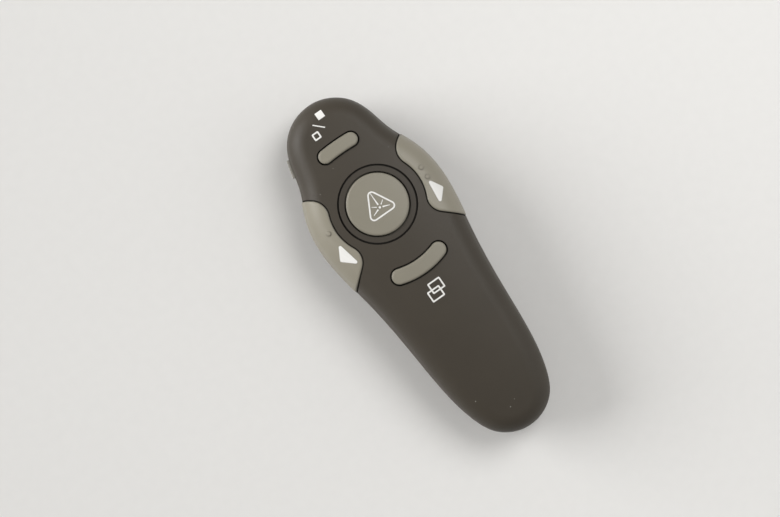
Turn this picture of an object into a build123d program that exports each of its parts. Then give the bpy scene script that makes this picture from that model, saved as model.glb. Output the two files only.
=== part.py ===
"""Handheld wireless presentation clicker with a laser pointer.

Millimetres. +X is the right hand side with the nose ahead, +Y runs towards the nose and +Z is up, with the
keys on top. The origin lies on the surface the clicker rests on, below the middle of its body.
"""
from build123d import *
from build123d.topology import SkipClean
from functools import lru_cache
from math import asin, cos, degrees, radians, sin, sqrt
import os

# ---- Body form, seen from above --------------------------------------------------------------------
body_length = 118.0
head_radius = 15.0
tail_radius = 13.6
neck_half_width = 16.5
neck_y = 40.0
brow_half_width = 20.2
brow_y = 31.0
shoulder_half_width = 22.05
shoulder_y = 19.5
waist_half_width = 19.55
waist_y = 0.0
grip_half_width = 17.3
grip_y = -20.0
heel_half_width = 15.9
heel_y = -36.5
end_angles = (25.0, 50.0, 75.0)

# ---- Body form, seen from the side -----------------------------------------------------------------
body_height = 25.0
crest_y = 8.0
crown_length_radius = 360.0
crown_width_radius = 75.0
top_round = 6.5
bottom_round = 7.5
barrel = 0.016
parting_z = 10.5
flat_front_y = 28.0
flat_back_y = -30.0
tip_rise = 2.0
margin = 5.0
wall = 1.8

# ---- Fits ------------------------------------------------------------------------------------------
parting_gap = 0.12
key_gap = 0.45
side_key_gap = 0.3
ring_gap = 0.55
seat_gap = 0.05
running_gap = 0.04
fit_gap = 0.2
inner_gap = 0.35
bite = 0.3

# ---- Lip along the parting line --------------------------------------------------------------------
lip_thickness = 1.0
lip_height = 1.2
lip_root = 1.2

# ---- Keys ------------------------------------------------------------------------------------------
ring_y = 22.0
laser_key_radius = 9.88
ring_radius = 12.1
ring_depth = 1.0
ring_groove_depth = 0.5
ring_ledge_radius = 10.9
key_proud = 0.5
key_round = 0.45
key_travel = 0.35
flange_gap = 0.3
flange_thickness = 0.8
flange_width = 0.9
stem_radius = 1.6
blank_key_length = 14.4
blank_key_width = 5.2
blank_key_y = 42.75
blank_key_bend = 60.0
window_key_length = 20.0
window_key_width = 5.65
window_key_bend = 22.6
side_key_radius = 14.6
side_key_proud = 0.25
side_upper_corner_radius = 5.9
side_upper_corner_angle = 22.1
side_upper_edge_slope = 37.0
side_lower_corner_radius = 5.3
side_lower_corner_angle = -26.6
side_lower_edge_slope = -42.0
side_key_foot = 0.6
side_key_overrun = 30.0
pip_radius = 0.65
pip_height = 0.2
pip_distance = 17.1
pip_angles_right = (5.4, -6.0)
pip_angles_left = (4.0,)

# ---- Circuit board and switches --------------------------------------------------------------------
board_z = 14.5
board_thickness = 1.2
board_inset = 3.6
board_back_y = -6.0
board_front_y = 50.0
tact_size = 6.0
tact_height = 3.5
small_tact_size = 4.5
small_tact_height = 2.5
plunger_radius = 1.6
plunger_rise = 0.8
plunger_depth = 1.2
side_switch_x = 15.1
chip_size = 5.0
chip_height = 0.9
chip_mark_radius = 0.4
chip_mark_offset = 1.6
chip_x = -3.0
chip_y = 33.0
crystal_length = 3.2
crystal_width = 2.5
crystal_height = 0.8
crystal_x = 4.5
chip_part_length = 1.6
chip_part_width = 0.8
chip_part_height = 0.5
chip_part_pitch = 2.4
chip_part_count = 4
chip_part_rows = (6.5, 9.0)

# ---- Power switch on the left flank ----------------------------------------------------------------
power_bearing = 78.0
power_travel = 2.0
power_knob_length = 5.6
power_knob_height = 2.3
power_knob_lift = 0.35
power_knob_proud = 0.7
power_knob_ribs = 4
power_rib_depth = 0.15
power_body_length = 8.6
power_body_depth = 4.4
power_body_height = 4.5
power_body_set_back = 3.8
power_shutter_thickness = 0.6
power_lever_width = 2.0
power_lever_height = 1.4
power_lever_engagement = 1.0

# ---- Laser -----------------------------------------------------------------------------------------
laser_radius = 3.0
laser_bore_radius = 2.4
laser_length = 10.4
laser_front_gap = 0.4
laser_lens_thickness = 1.2
laser_lens_dome_radius = 4.8
laser_lip_radius = 1.6
diode_flange_length = 1.2
diode_can_radius = 1.7
diode_can_length = 2.2
driver_length = 7.8
driver_width = 5.0
driver_thickness = 0.8
lead_radius = 0.35
lead_spacing = 2.4
lead_bend_radius = 0.6
lead_straight = 1.2
lead_run_back = 1.8
bezel_radius = 3.6
bezel_bore_radius = 2.0
bezel_flange_radius = 4.4
bezel_flange_thickness = 1.3
bezel_back = 4.0
window_radius = 2.6
window_thickness = 1.0
cradle_width = 9.2
cradle_length = 7.0

# ---- Batteries -------------------------------------------------------------------------------------
cell_radius = 5.25
cell_length = 44.5
cell_nub_radius = 1.9
cell_nub_height = 0.8
cell_spacing = 11.2
cell_front_y = -2.5
cell_floor_gap = 1.05
tray_wall = 1.0
tray_roof = 1.0
spring_room = 2.6
spring_radius = 3.0
spring_wire_radius = 0.3
spring_turns = 3.5
contact_thickness = 0.4
contact_width = 7.0
contact_height = 6.0
contact_tab_width = 3.0

# ---- Battery door ----------------------------------------------------------------------------------
door_front_y = -6.5
rail_front_y = -9.0
rail_back_y = -42.0
rail_z = 7.0
rail_thickness = 1.2
rail_reach = 12.9
door_rib_x = 12.25
door_rib_thickness = 1.1
tongue_width = 12.0
tongue_reach = 2.0
tongue_thickness = 0.8
grip_groove_count = 6
grip_groove_pitch = 2.0
grip_groove_width = 0.9
grip_groove_depth = 0.35
grip_groove_length = 15.0
grip_groove_front_y = -12.0

# ---- Receiver and its dock -------------------------------------------------------------------------
receiver_width = 14.6
receiver_length = 22.0
receiver_height = 6.4
receiver_round = 1.6
receiver_edge_round = 0.8
receiver_back_y = 2.2
receiver_z = 0.3
receiver_wall = 1.0
plug_width = 12.0
plug_height = 4.5
plug_length = 14.0
plug_wall = 0.3
plug_hidden_length = 4.0
plug_window = 2.2
plug_window_spacing = 5.0
plug_window_set_back = 5.5
tongue_board_height = 1.9
contact_strip_count = 4
contact_strip_width = 1.2
contact_strip_pitch = 2.3
contact_strip_thickness = 0.15
contact_strip_length = 7.5
receiver_board_thickness = 0.8
dock_wall = 1.2
scoop_width = 9.0
scoop_radius = 2.4

# ---- Screws ----------------------------------------------------------------------------------------
screw_x = 11.5
screw_y = 36.0
screw_radius = 0.85
screw_head_radius = 1.8
screw_head_height = 1.3
screw_length = 7.0
boss_radius = 2.6
boss_split_z = 8.0
boss_floor = 4.0
tail_screw_y = -53.6
tail_boss_radius = 2.2
tail_pad_z = 8.0
tail_pad_thickness = 1.5
board_screw_x = 5.5
board_screw_y = 12.0
board_screw_radius = 0.7
board_screw_head_radius = 1.4
board_screw_head_height = 0.9
board_screw_length = 4.0
board_post_radius = 1.9
drive_recess_width = 0.6
drive_recess_depth = 0.6
drive_recess_reach = 0.6
screw_head_round = 0.25

# ---- Worked out from the sizes above ---------------------------------------------------------------
reach = body_length
head_centre_y = body_length / 2 - head_radius
tail_centre_y = tail_radius - body_length / 2
board_top_z = board_z + board_thickness
flange_top = wall + flange_gap
flange_bottom = flange_top + flange_thickness
lip_outer = wall + running_gap + seat_gap
lip_inner = lip_outer + lip_thickness
tray_inset = wall + inner_gap
cell_z = wall + cell_floor_gap + cell_radius
cell_x = cell_spacing / 2
cell_back_y = cell_front_y - cell_length
bay_radius = cell_radius + fit_gap
bay_half_width = cell_x + bay_radius
tray_half_width = bay_half_width + tray_wall
contact_front_y = cell_front_y + spring_room
contact_back_y = cell_back_y - spring_room
bay_front_y = contact_front_y + contact_thickness
bay_back_y = contact_back_y - contact_thickness
bezel_back_y = body_length / 2 - bezel_back
laser_front_y = bezel_back_y - laser_front_gap
laser_back_y = laser_front_y - laser_length
plug_y = receiver_back_y + receiver_length
plug_tip_y = plug_y + plug_length
plug_z = receiver_z + receiver_height / 2


# ---- Helpers ---------------------------------------------------------------------------------------
def span(x_low, x_high, y_low, y_high, z_low, z_high):
    """Block between two corners."""
    block = Box(x_high - x_low, y_high - y_low, z_high - z_low)
    return Pos((x_low + x_high) / 2, (y_low + y_high) / 2, (z_low + z_high) / 2) * block


def middle_span(width, y_low, y_high, z_low, z_high, x=0.0):
    """Block centred on x across the body."""
    return span(x - width / 2, x + width / 2, y_low, y_high, z_low, z_high)


def layer(z_low, z_high):
    """Everything between two heights."""
    return span(-reach, reach, -reach, reach, z_low, z_high)


def post(radius, x, y, z_low, z_high):
    """Upright round bar."""
    return Pos(x, y, (z_low + z_high) / 2) * Cylinder(radius, z_high - z_low)


def bar(radius, y_low, y_high, x, z):
    """Round bar along Y."""
    return Pos(x, (y_low + y_high) / 2, z) * Rot(90, 0, 0) * Cylinder(radius, y_high - y_low)


def column(face, z_low=-margin, z_high=body_height + 2 * margin):
    """A flat face on the XY plane pulled up into a prism."""
    return extrude(Pos(0, 0, z_low) * face, amount=z_high - z_low, dir=(0, 0, 1))


def both_sides(shape):
    """The shape and its mirror image across the middle plane."""
    return [shape, mirror(shape, about=Plane.YZ).solid()]


# ---- Body form -------------------------------------------------------------------------------------
def end_points(radius, centre_y, direction):
    """Points on the round end, from the tip towards the flank."""
    return [(radius * sin(radians(angle)), centre_y + direction * radius * cos(radians(angle)))
            for angle in end_angles]


def outline_points():
    """Points of the parting line, clockwise from the nose."""
    flank = [(neck_half_width, neck_y), (brow_half_width, brow_y), (shoulder_half_width, shoulder_y),
             (waist_half_width, waist_y), (grip_half_width, grip_y), (heel_half_width, heel_y)]
    head = end_points(head_radius, head_centre_y, 1)
    tail = end_points(tail_radius, tail_centre_y, -1)
    right = head + flank + tail[::-1]
    left = [(-x, y) for x, y in right[::-1]]
    return [(0, body_length / 2)] + right + [(0, -body_length / 2)] + left


def outline_edge(points, z=0.0):
    """Smooth closed curve through the points."""
    return Edge.make_spline([Vector(x, y, z) for x, y in points], periodic=True)


@lru_cache(maxsize=None)
def inset_outline(inset, z):
    """The parting line moved inwards along its normals, at height z."""
    points = outline_points()
    curve = outline_edge(points)
    moved = []
    for x, y in points:
        along = curve.tangent_at(curve.param_at_point(Vector(x, y, 0)))
        moved.append((x + inset * along.Y, y - inset * along.X))
    return outline_edge(moved, z)


def flank_wall(inset):
    """Barrel shaped wall, widest at the parting line."""
    levels = (-margin, parting_z / 2, parting_z, (parting_z + body_height) / 2, body_height + margin)
    rings = [Wire([inset_outline(inset + barrel * (z - parting_z) ** 2, z)]) for z in levels]
    return Solid.make_loft(rings)


def crown_block(inset):
    """Solid below the top of the body, curved along its length and across it."""
    crest_z = body_height - inset
    length_radius = crown_length_radius - inset
    width_radius = crown_width_radius - inset
    half_width = shoulder_half_width + 2 * margin
    edge_z = crest_z - width_radius + sqrt(width_radius ** 2 - half_width ** 2)
    corners = [(half_width, edge_z), (half_width, -2 * margin), (-half_width, -2 * margin), (-half_width, edge_z)]
    sides = Polyline(*corners)
    arch = ThreePointArc(corners[3], (0, crest_z), corners[0])
    section = Pos(0, crest_y, 0) * (Plane.XZ * make_face([*sides.edges(), arch.edge()]))
    hinge = Axis((0, crest_y, crest_z - length_radius), (1, 0, 0))
    swing = degrees(asin((body_length / 2 + abs(crest_y) + 2 * margin) / length_radius))
    return revolve(section.rotate(hinge, -swing), axis=hinge, revolution_arc=2 * swing)


def rising_arc(start_y, tip_y, z):
    """Arc in the side view that leaves the flat underside and rises to the tip and on past it."""
    run = abs(tip_y - start_y)
    radius = (run ** 2 + tip_rise ** 2) / (2 * tip_rise)
    sign = 1 if tip_y > start_y else -1
    return JernArc((start_y, z), (sign, 0), radius, sign * degrees(asin((run + margin) / radius)))


def underside_block(inset):
    """Solid above the underside: flat in the middle, rising gently to both tips."""
    front = rising_arc(flat_front_y, body_length / 2, inset)
    back = rising_arc(flat_back_y, -body_length / 2, inset)
    top = body_height + 2 * margin
    flat = Line((flat_back_y, inset), (flat_front_y, inset))
    over = Polyline(front @ 1, ((front @ 1).X, top), ((back @ 1).X, top), back @ 1)
    profile = Plane.YZ * make_face([flat.edge(), front.edge(), *over.edges(), back.edge()])
    return extrude(profile, amount=reach, both=True)


@lru_cache(maxsize=None)
def form(inset):
    """The whole body, shrunk by inset on every side."""
    block = flank_wall(inset) & crown_block(inset) & underside_block(inset)
    top_edges = [edge for edge in block.edges() if edge.bounding_box().min.Z > parting_z]
    block = block.solid().fillet(top_round - inset, top_edges)
    rim = [edge for edge in block.edges()
           if edge.bounding_box().max.Z < parting_z and edge.bounding_box().size.Y > wall / 10]
    return block.fillet(bottom_round - inset, rim)


def inset_column(inset, z_low, z_high):
    """Upright prism whose outline is the parting line moved inwards."""
    return column(Face(Wire([inset_outline(inset, 0.0)])), z_low, z_high)


def inside(shape, inset):
    """The part of a shape that lies within the body form shrunk by inset."""
    return shape & form(inset)


# ---- Key outlines, seen from above -----------------------------------------------------------------
def laser_key_outline(grow):
    return Pos(0, ring_y) * Circle(laser_key_radius + grow)


def bent_bar(length, width, bend_radius, bend_centre_y, bearing):
    """Rounded bar that follows an arc about a point on the middle line."""
    half_angle = degrees((length - width) / 2 / bend_radius)
    centre_line = CenterArc((0, bend_centre_y), bend_radius, bearing - half_angle, 2 * half_angle)
    return SlotArc(centre_line, width)


def blank_key_outline(grow):
    """Bar on the nose side of the ring, hardly bent."""
    return bent_bar(blank_key_length + 2 * grow, blank_key_width + 2 * grow, blank_key_bend,
                    blank_key_y - blank_key_bend, 90)


def window_key_outline(grow):
    """Bar concentric with the ring, on its tail side."""
    return bent_bar(window_key_length + 2 * grow, window_key_width + 2 * grow, window_key_bend, ring_y, 270)


def polar(radius, angle):
    """Point at a distance and bearing from the middle of the ring."""
    return (radius * cos(radians(angle)), ring_y + radius * sin(radians(angle)))


def side_corner(corner_radius, corner_angle, edge_slope, grow):
    """Corner arc of a side key and the straight edge that runs on outwards from it."""
    centre = polar(side_key_radius + corner_radius, corner_angle)
    radius = corner_radius + grow
    inner_end = corner_angle + 180
    sign = 1 if edge_slope > 0 else -1
    outer_end = edge_slope + sign * 90
    if sign < 0:
        outer_end += 360
    arc = CenterArc(centre, radius, inner_end, outer_end - inner_end)
    start = arc @ 1
    far = (start.X + side_key_overrun * cos(radians(edge_slope)),
           start.Y + side_key_overrun * sin(radians(edge_slope)))
    return arc, Line(start, far)


def side_key_outline(grow):
    """Right hand key, outwards from the ring and on past the flank."""
    upper, upper_edge = side_corner(side_upper_corner_radius, side_upper_corner_angle,
                                    side_upper_edge_slope, grow)
    lower, lower_edge = side_corner(side_lower_corner_radius, side_lower_corner_angle,
                                    side_lower_edge_slope, grow)
    inner = CenterArc((0, ring_y), side_key_radius - grow, side_lower_corner_angle,
                      side_upper_corner_angle - side_lower_corner_angle)
    closing = Line(upper_edge @ 1, lower_edge @ 1)
    pieces = (upper, upper_edge, lower, lower_edge, inner, closing)
    return make_face([piece.edge() for piece in pieces])


# ---- Keys ------------------------------------------------------------------------------------------
def switch_top_z(height):
    """Top of the plunger of a switch of this height."""
    return board_top_z + height + plunger_rise


def rim_of(block, prism, low_z):
    """Edges where the upright sides of the prism meet the top of the block."""
    sides = prism.shell()
    rim = []
    for edge in block.edges():
        box = edge.bounding_box()
        upright = max(box.size.X, box.size.Y) < seat_gap
        if box.min.Z > low_z + seat_gap and not upright and Vertex(edge @ 0.5).distance_to(sides) < seat_gap / 10:
            rim.append(edge)
    return rim


def key_shape(outline, gap, proud, low_z):
    """Key cap, rounded along its rim, with a flange below the shell that keeps it in."""
    prism = column(outline(-gap), low_z)
    cap = (prism & form(-proud)).solid()
    cap = cap.fillet(key_round, rim_of(cap, prism, low_z))
    flange = inside(column(outline(flange_width), low_z), flange_top)
    return cap + flange - form(flange_bottom)


def key_with_stem(outline, x, y, switch_height, gap=key_gap, proud=key_proud, low_z=parting_z):
    """Key that reaches down to the plunger of its switch."""
    stem = post(stem_radius, x, y, switch_top_z(switch_height), body_height)
    return key_shape(outline, gap, proud, low_z) + inside(stem, flange_bottom - bite)


def side_key(pip_angles):
    """Right hand side key, with raised pips to find it by touch."""
    key = key_with_stem(side_key_outline, side_switch_x, ring_y, small_tact_height, side_key_gap,
                        side_key_proud, parting_z + side_key_foot)
    for angle in pip_angles:
        x, y = polar(pip_distance, angle)
        pip = post(pip_radius, x, y, board_top_z, body_height + margin)
        key += inside(pip, -side_key_proud - pip_height) - form(wall / 2)
    return key


def laser_button():
    return key_with_stem(laser_key_outline, 0, ring_y, tact_height)


def blank_screen_button():
    return key_with_stem(blank_key_outline, 0, blank_key_y, tact_height)


def window_switch_button():
    return key_with_stem(window_key_outline, 0, ring_y - window_key_bend, tact_height)


def next_button():
    return side_key(pip_angles_right)


def previous_button():
    return mirror(side_key(pip_angles_left), about=Plane.YZ)


def laser_button_bezel():
    """Trim ring round the laser button, let into the shell, with a groove round its upper half."""
    bore = Circle(laser_key_radius)
    base = inside(column(Pos(0, ring_y) * (Circle(ring_radius - seat_gap) - bore), parting_z), ring_groove_depth)
    face = inside(column(Pos(0, ring_y) * (Circle(ring_radius - ring_gap) - bore), parting_z), 0)
    return base + face - form(ring_depth - seat_gap)


# ---- Shells ----------------------------------------------------------------------------------------
def power_place():
    """Frame on the middle of the nose arc: local X along the flank to the front, local Y outwards."""
    return Pos(0, head_centre_y, 0) * Rot(0, 0, power_bearing)


def power_slot_half_length():
    return (power_knob_length + power_travel) / 2 + fit_gap


def nose_cuts():
    """Hole for the nose ring and the wider seat of its flange."""
    flange_front_y = bezel_back_y + bezel_flange_thickness + seat_gap
    return [bar(bezel_radius + seat_gap, head_centre_y, body_length, 0, parting_z),
            bar(bezel_flange_radius + seat_gap, bezel_back_y - seat_gap, flange_front_y, 0, parting_z)]


def key_openings():
    cuts = [column(outline(0), parting_z)
            for outline in (blank_key_outline, window_key_outline, side_key_outline)]
    cuts.append(mirror(cuts[-1], about=Plane.YZ))
    cuts.append(column(Pos(0, ring_y) * Circle(ring_ledge_radius), parting_z))
    seat = column(Pos(0, ring_y) * Circle(ring_radius), parting_z) - form(ring_depth)
    return cuts + [seat]


def top_shell():
    pad_top_z = tail_pad_z + tail_pad_thickness
    bosses = [post(boss_radius, x, screw_y, parting_z, body_height) for x in (-screw_x, screw_x)]
    bosses.append(post(tail_boss_radius, 0, tail_screw_y, parting_z, body_height))
    hollow = (form(wall) & layer(parting_z, body_height)) - bosses
    shell = (form(0) & layer(parting_z, body_height)) - hollow
    feet = [post(boss_radius, x, screw_y, boss_split_z + seat_gap, parting_z) for x in (-screw_x, screw_x)]
    feet.append(post(tail_boss_radius, 0, tail_screw_y, pad_top_z + seat_gap, parting_z))
    shell += feet
    slot = middle_span(2 * power_slot_half_length(), head_radius - 2 * wall, head_radius + wall,
                       parting_z, parting_z + power_knob_lift + power_knob_height + fit_gap)
    cuts = key_openings() + nose_cuts() + [power_place() * slot]
    for x, y, seat_z in shell_screw_places():
        cuts.append(post(screw_radius + running_gap / 2, x, y, seat_z, seat_z + screw_length + fit_gap))
    return shell - cuts


def shell_screw_places():
    """Where each shell screw stands, and the height of the seat of its head."""
    return ((-screw_x, screw_y, boss_floor), (screw_x, screw_y, boss_floor), (0, tail_screw_y, tail_pad_z))


def lip_cuts():
    """Gaps in the lip for the side keys, the nose ring and the power switch."""
    low_z = parting_z - parting_gap
    cuts = both_sides(column(side_key_outline(flange_width + 2 * fit_gap), low_z))
    cuts.append(middle_span(2 * bezel_flange_radius + wall, bezel_back_y - wall, body_length, low_z, body_height))
    switch_room = middle_span(2 * power_slot_half_length() + 2 * wall, head_radius / 2, body_length / 2,
                              low_z, body_height)
    cuts.append(power_place() * switch_room)
    cuts.append(span(-reach, reach, -reach, door_front_y + wall, low_z, body_height))
    cuts.append(span(-reach, reach, -reach, door_front_y, 0, body_height))
    return cuts


def dock_block(grow, low_z):
    """Room for the receiver, wide round its housing and narrow round its plug."""
    housing = middle_span(receiver_width + 2 * grow, receiver_back_y - grow, plug_y + grow,
                          low_z, receiver_z + receiver_height + grow)
    plug = middle_span(plug_width + 2 * grow, plug_y, plug_tip_y + grow, low_z, plug_z + plug_height / 2 + grow)
    return housing + plug


def bay_cavity():
    """Room for the two cells, open below, with the room for their contacts at both ends."""
    room = middle_span(2 * bay_half_width, cell_back_y, cell_front_y, 0, cell_z)
    for x in (-cell_x, cell_x):
        room += bar(bay_radius, cell_back_y, cell_front_y, x, cell_z)
    top_z = cell_z + cell_radius + fit_gap
    ends = middle_span(2 * bay_half_width, bay_back_y - seat_gap, cell_back_y, 0, top_z)
    ends += middle_span(2 * bay_half_width, cell_front_y, bay_front_y + seat_gap, 0, top_z)
    return room + ends


def contact_stops():
    """Blocks that hold the plates against the raised ends of the cells."""
    top_z = cell_z + cell_radius + tray_roof
    front = span(-bay_half_width - bite, -fit_gap, cell_front_y + contact_thickness + seat_gap,
                 bay_front_y + bite, rail_z, top_z)
    back = span(contact_thickness + 2 * fit_gap, cell_x + cell_nub_radius, bay_back_y - bite,
                cell_back_y - contact_thickness - seat_gap, rail_z, top_z)
    return [front, back]


def battery_tray():
    """Tray that holds the cells, joined to the lower shell at its front wall."""
    front_y = bay_front_y + tray_wall
    blocks = [middle_span(2 * tray_half_width, bay_back_y - tray_wall, front_y, rail_z, board_z)]
    blocks += both_sides(span(bay_half_width, rail_reach, rail_back_y, rail_front_y,
                              rail_z, rail_z + rail_thickness))
    pad_top_z = tail_pad_z + tail_pad_thickness
    blocks.append(post(tail_boss_radius, 0, tail_screw_y, tail_pad_z, pad_top_z))
    blocks.append(middle_span(2 * tail_boss_radius, tail_screw_y, bay_back_y, tail_pad_z, pad_top_z))
    tray = (blocks[0] + blocks[1:]) & inset_column(tray_inset + inner_gap, 0, body_height)
    return tray - bay_cavity() + contact_stops()


def tab_slot():
    """Slots in the roof of the tray for the soldered tabs of the front contacts."""
    slots = []
    for x, plate_y in ((-cell_x, cell_front_y), (cell_x, contact_front_y)):
        slots.append(middle_span(contact_tab_width + 2 * fit_gap, plate_y - fit_gap,
                                 plate_y + contact_thickness + fit_gap, cell_z + bay_radius / 2, board_z, x))
    return slots


def bottom_shell():
    low_part = parting_z - parting_gap
    front = span(-reach, reach, door_front_y, reach, -margin, low_part)
    root_z = parting_z - lip_root
    cradle_front_y = laser_front_y - wall
    features = [dock_block(fit_gap + dock_wall, 0),
                middle_span(cradle_width, cradle_front_y - cradle_length, cradle_front_y, 0, low_part),
                middle_span(2 * reach, bay_front_y, bay_front_y + tray_wall, 0, low_part)]
    features += [post(boss_radius, x, screw_y, 0, boss_split_z) for x in (-screw_x, screw_x)]
    hollow = (form(wall) & span(-reach, reach, -reach, reach, 0, root_z)) - features
    throat = inset_column(lip_inner, root_z, body_height) - features
    lip = inset_column(lip_outer, root_z, parting_z + lip_height) - lip_cuts()
    shell = ((form(0) & front) + lip) - [hollow, throat]
    shell += [post(board_post_radius, x, board_screw_y, receiver_z + receiver_height + fit_gap, board_z)
              for x in (-board_screw_x, board_screw_x)]
    shell += middle_span(2 * tray_half_width, bay_front_y, bay_front_y + tray_wall, root_z, board_z)
    shell += battery_tray()
    cuts = nose_cuts()
    cuts += [dock_block(fit_gap, -margin),
             Pos(0, receiver_back_y, 0) * Rot(0, 90, 0) * Cylinder(scoop_radius, scoop_width),
             bar(laser_radius + running_gap, head_centre_y - head_radius, laser_front_y + wall, 0, parting_z)]
    for x, y, seat_z in shell_screw_places():
        cuts.append(post(screw_head_radius + fit_gap, x, y, -margin, seat_z))
        cuts.append(post(screw_radius + fit_gap, x, y, 0, parting_z))
    for x in (-board_screw_x, board_screw_x):
        cuts.append(post(board_screw_radius + running_gap / 2, x, board_screw_y,
                         board_top_z - board_screw_length - fit_gap, board_z))
    return shell - cuts - tab_slot()


def battery_door():
    """Sliding door that is the whole underside of the tail."""
    low_part = parting_z - parting_gap
    back_y = door_front_y - parting_gap
    rib_z = rail_z + rail_thickness + fit_gap
    ribs = both_sides(span(door_rib_x, reach, rail_back_y, rail_front_y, rib_z, rib_z + door_rib_thickness))
    hollow = (form(wall) & span(-reach, reach, -reach, reach, 0, low_part)) - ribs
    door = (form(0) & span(-reach, reach, -reach, back_y, -margin, low_part)) - hollow
    tongue = middle_span(tongue_width, back_y - tongue_reach, back_y + tongue_reach,
                         wall + seat_gap, wall + seat_gap + tongue_thickness)
    root = middle_span(tongue_width, back_y - tongue_reach, back_y, wall - bite, wall + tongue_thickness / 2)
    door += [tongue, root]
    grooves = []
    for index in range(grip_groove_count):
        y = grip_groove_front_y - index * grip_groove_pitch
        grooves.append(middle_span(grip_groove_length, y - grip_groove_width, y, -margin, grip_groove_depth))
    return door - grooves


# ---- Circuit board, switches and their plungers ----------------------------------------------------
def main_pcb():
    board = inside(span(-reach, reach, board_back_y, board_front_y, board_z, board_top_z), board_inset)
    for x in (-screw_x, screw_x):
        board -= post(boss_radius + inner_gap, x, screw_y, 0, body_height)
    for x in (-board_screw_x, board_screw_x):
        board -= post(board_screw_radius + fit_gap, x, board_screw_y, 0, body_height)
    return board


def switch_place(key):
    """Middle and size of the switch below each key."""
    places = {
        "laser": (0, ring_y, tact_size, tact_height),
        "blank_screen": (0, blank_key_y, tact_size, tact_height),
        "window_switch": (0, ring_y - window_key_bend, tact_size, tact_height),
        "previous": (-side_switch_x, ring_y, small_tact_size, small_tact_height),
        "next": (side_switch_x, ring_y, small_tact_size, small_tact_height),
    }
    return places[key]


def tact_switch(key):
    x, y, size, height = switch_place(key)
    body = span(x - size / 2, x + size / 2, y - size / 2, y + size / 2, board_top_z, board_top_z + height)
    body = body.fillet(bite, body.edges().filter_by(Axis.Z))
    depth = plunger_depth + key_travel
    return body - post(plunger_radius + seat_gap, x, y, board_top_z + height - depth, board_top_z + height + bite)


def tact_plunger(key):
    x, y, _, height = switch_place(key)
    top_z = switch_top_z(height)
    plunger = post(plunger_radius, x, y, top_z - plunger_rise - plunger_depth + fit_gap, top_z)
    return plunger.chamfer(fit_gap / 2, None, plunger.edges().group_by(Axis.Z)[-1])


def radio_chip():
    chip = middle_span(chip_size, chip_y - chip_size / 2, chip_y + chip_size / 2,
                       board_top_z, board_top_z + chip_height, chip_x)
    mark = post(chip_mark_radius, chip_x - chip_mark_offset, chip_y + chip_mark_offset,
                board_top_z + chip_height - seat_gap, body_height)
    return chip.chamfer(seat_gap, None, chip.edges().group_by(Axis.Z)[-1]) - mark


def crystal_can():
    can = middle_span(crystal_length, chip_y - crystal_width / 2, chip_y + crystal_width / 2,
                      board_top_z, board_top_z + crystal_height, crystal_x)
    return can.fillet(fit_gap, can.edges().filter_by(Axis.Z))


def passive_components():
    """Small chip resistors and capacitors in rows beside the board screws."""
    parts = []
    for y in chip_part_rows:
        for index in range(chip_part_count):
            x = (index - (chip_part_count - 1) / 2) * chip_part_pitch
            parts.append(middle_span(chip_part_width, y - chip_part_length / 2, y + chip_part_length / 2,
                                     board_top_z, board_top_z + chip_part_height, x))
    return Compound(children=parts)


# ---- Power switch ----------------------------------------------------------------------------------
def power_lever_z():
    return parting_z + power_knob_lift + (power_knob_height - power_lever_height) / 2


def power_switch_body():
    outer_y = head_radius - power_body_set_back
    low_z = board_z - power_body_height
    body = middle_span(power_body_length, outer_y - power_body_depth, outer_y, low_z, board_z)
    window = middle_span(power_lever_width + power_travel + 2 * fit_gap,
                         outer_y - power_lever_engagement - fit_gap, outer_y + bite,
                         power_lever_z() - fit_gap, power_lever_z() + power_lever_height + fit_gap)
    return power_place() * (body - window)


def power_switch_knob():
    """Slider on the flank with its shutter and the lever that reaches into the switch."""
    middle_x = -power_travel / 2
    low_z = parting_z + power_knob_lift
    cap_back_y = head_radius - wall - inner_gap - power_shutter_thickness
    cap = middle_span(power_knob_length, cap_back_y, head_radius + wall, low_z, low_z + power_knob_height, middle_x)
    knob = power_place() * cap & form(-power_knob_proud)
    rib_pitch = power_knob_length / (power_knob_ribs + 1)
    for index in range(power_knob_ribs):
        x = middle_x + (index - (power_knob_ribs - 1) / 2) * rib_pitch
        groove = middle_span(rib_pitch / 2, head_radius, head_radius + wall, low_z, body_height, x)
        knob -= power_place() * groove - form(power_rib_depth - power_knob_proud)
    lever = middle_span(power_lever_width, head_radius - power_body_set_back - power_lever_engagement,
                        cap_back_y + bite, power_lever_z(), power_lever_z() + power_lever_height, middle_x)
    return knob + power_place() * lever


# ---- Laser -----------------------------------------------------------------------------------------
def laser_barrel():
    barrel_tube = bar(laser_radius, laser_back_y, laser_front_y, 0, parting_z)
    barrel_tube -= bar(laser_bore_radius, laser_back_y - bite, laser_front_y - bite, 0, parting_z)
    barrel_tube -= bar(laser_lip_radius, laser_back_y, laser_front_y + bite, 0, parting_z)
    return barrel_tube


def laser_lens():
    front_y = laser_front_y - bite - seat_gap
    disc = bar(laser_bore_radius - running_gap, front_y - laser_lens_thickness, front_y + bite, 0, parting_z)
    dome = Pos(0, front_y - laser_lens_dome_radius, parting_z) * Sphere(laser_lens_dome_radius)
    return disc & dome


def laser_diode():
    """Metal can diode whose wide foot fills the back of the barrel."""
    foot_front_y = laser_back_y + seat_gap + diode_flange_length
    foot = bar(laser_bore_radius - running_gap, laser_back_y + seat_gap, foot_front_y, 0, parting_z)
    return foot + bar(diode_can_radius, foot_front_y - bite, foot_front_y + diode_can_length, 0, parting_z)


def laser_driver_board():
    return middle_span(driver_width, laser_back_y - driver_length, laser_back_y,
                       parting_z - driver_thickness / 2, parting_z + driver_thickness / 2)


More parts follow.
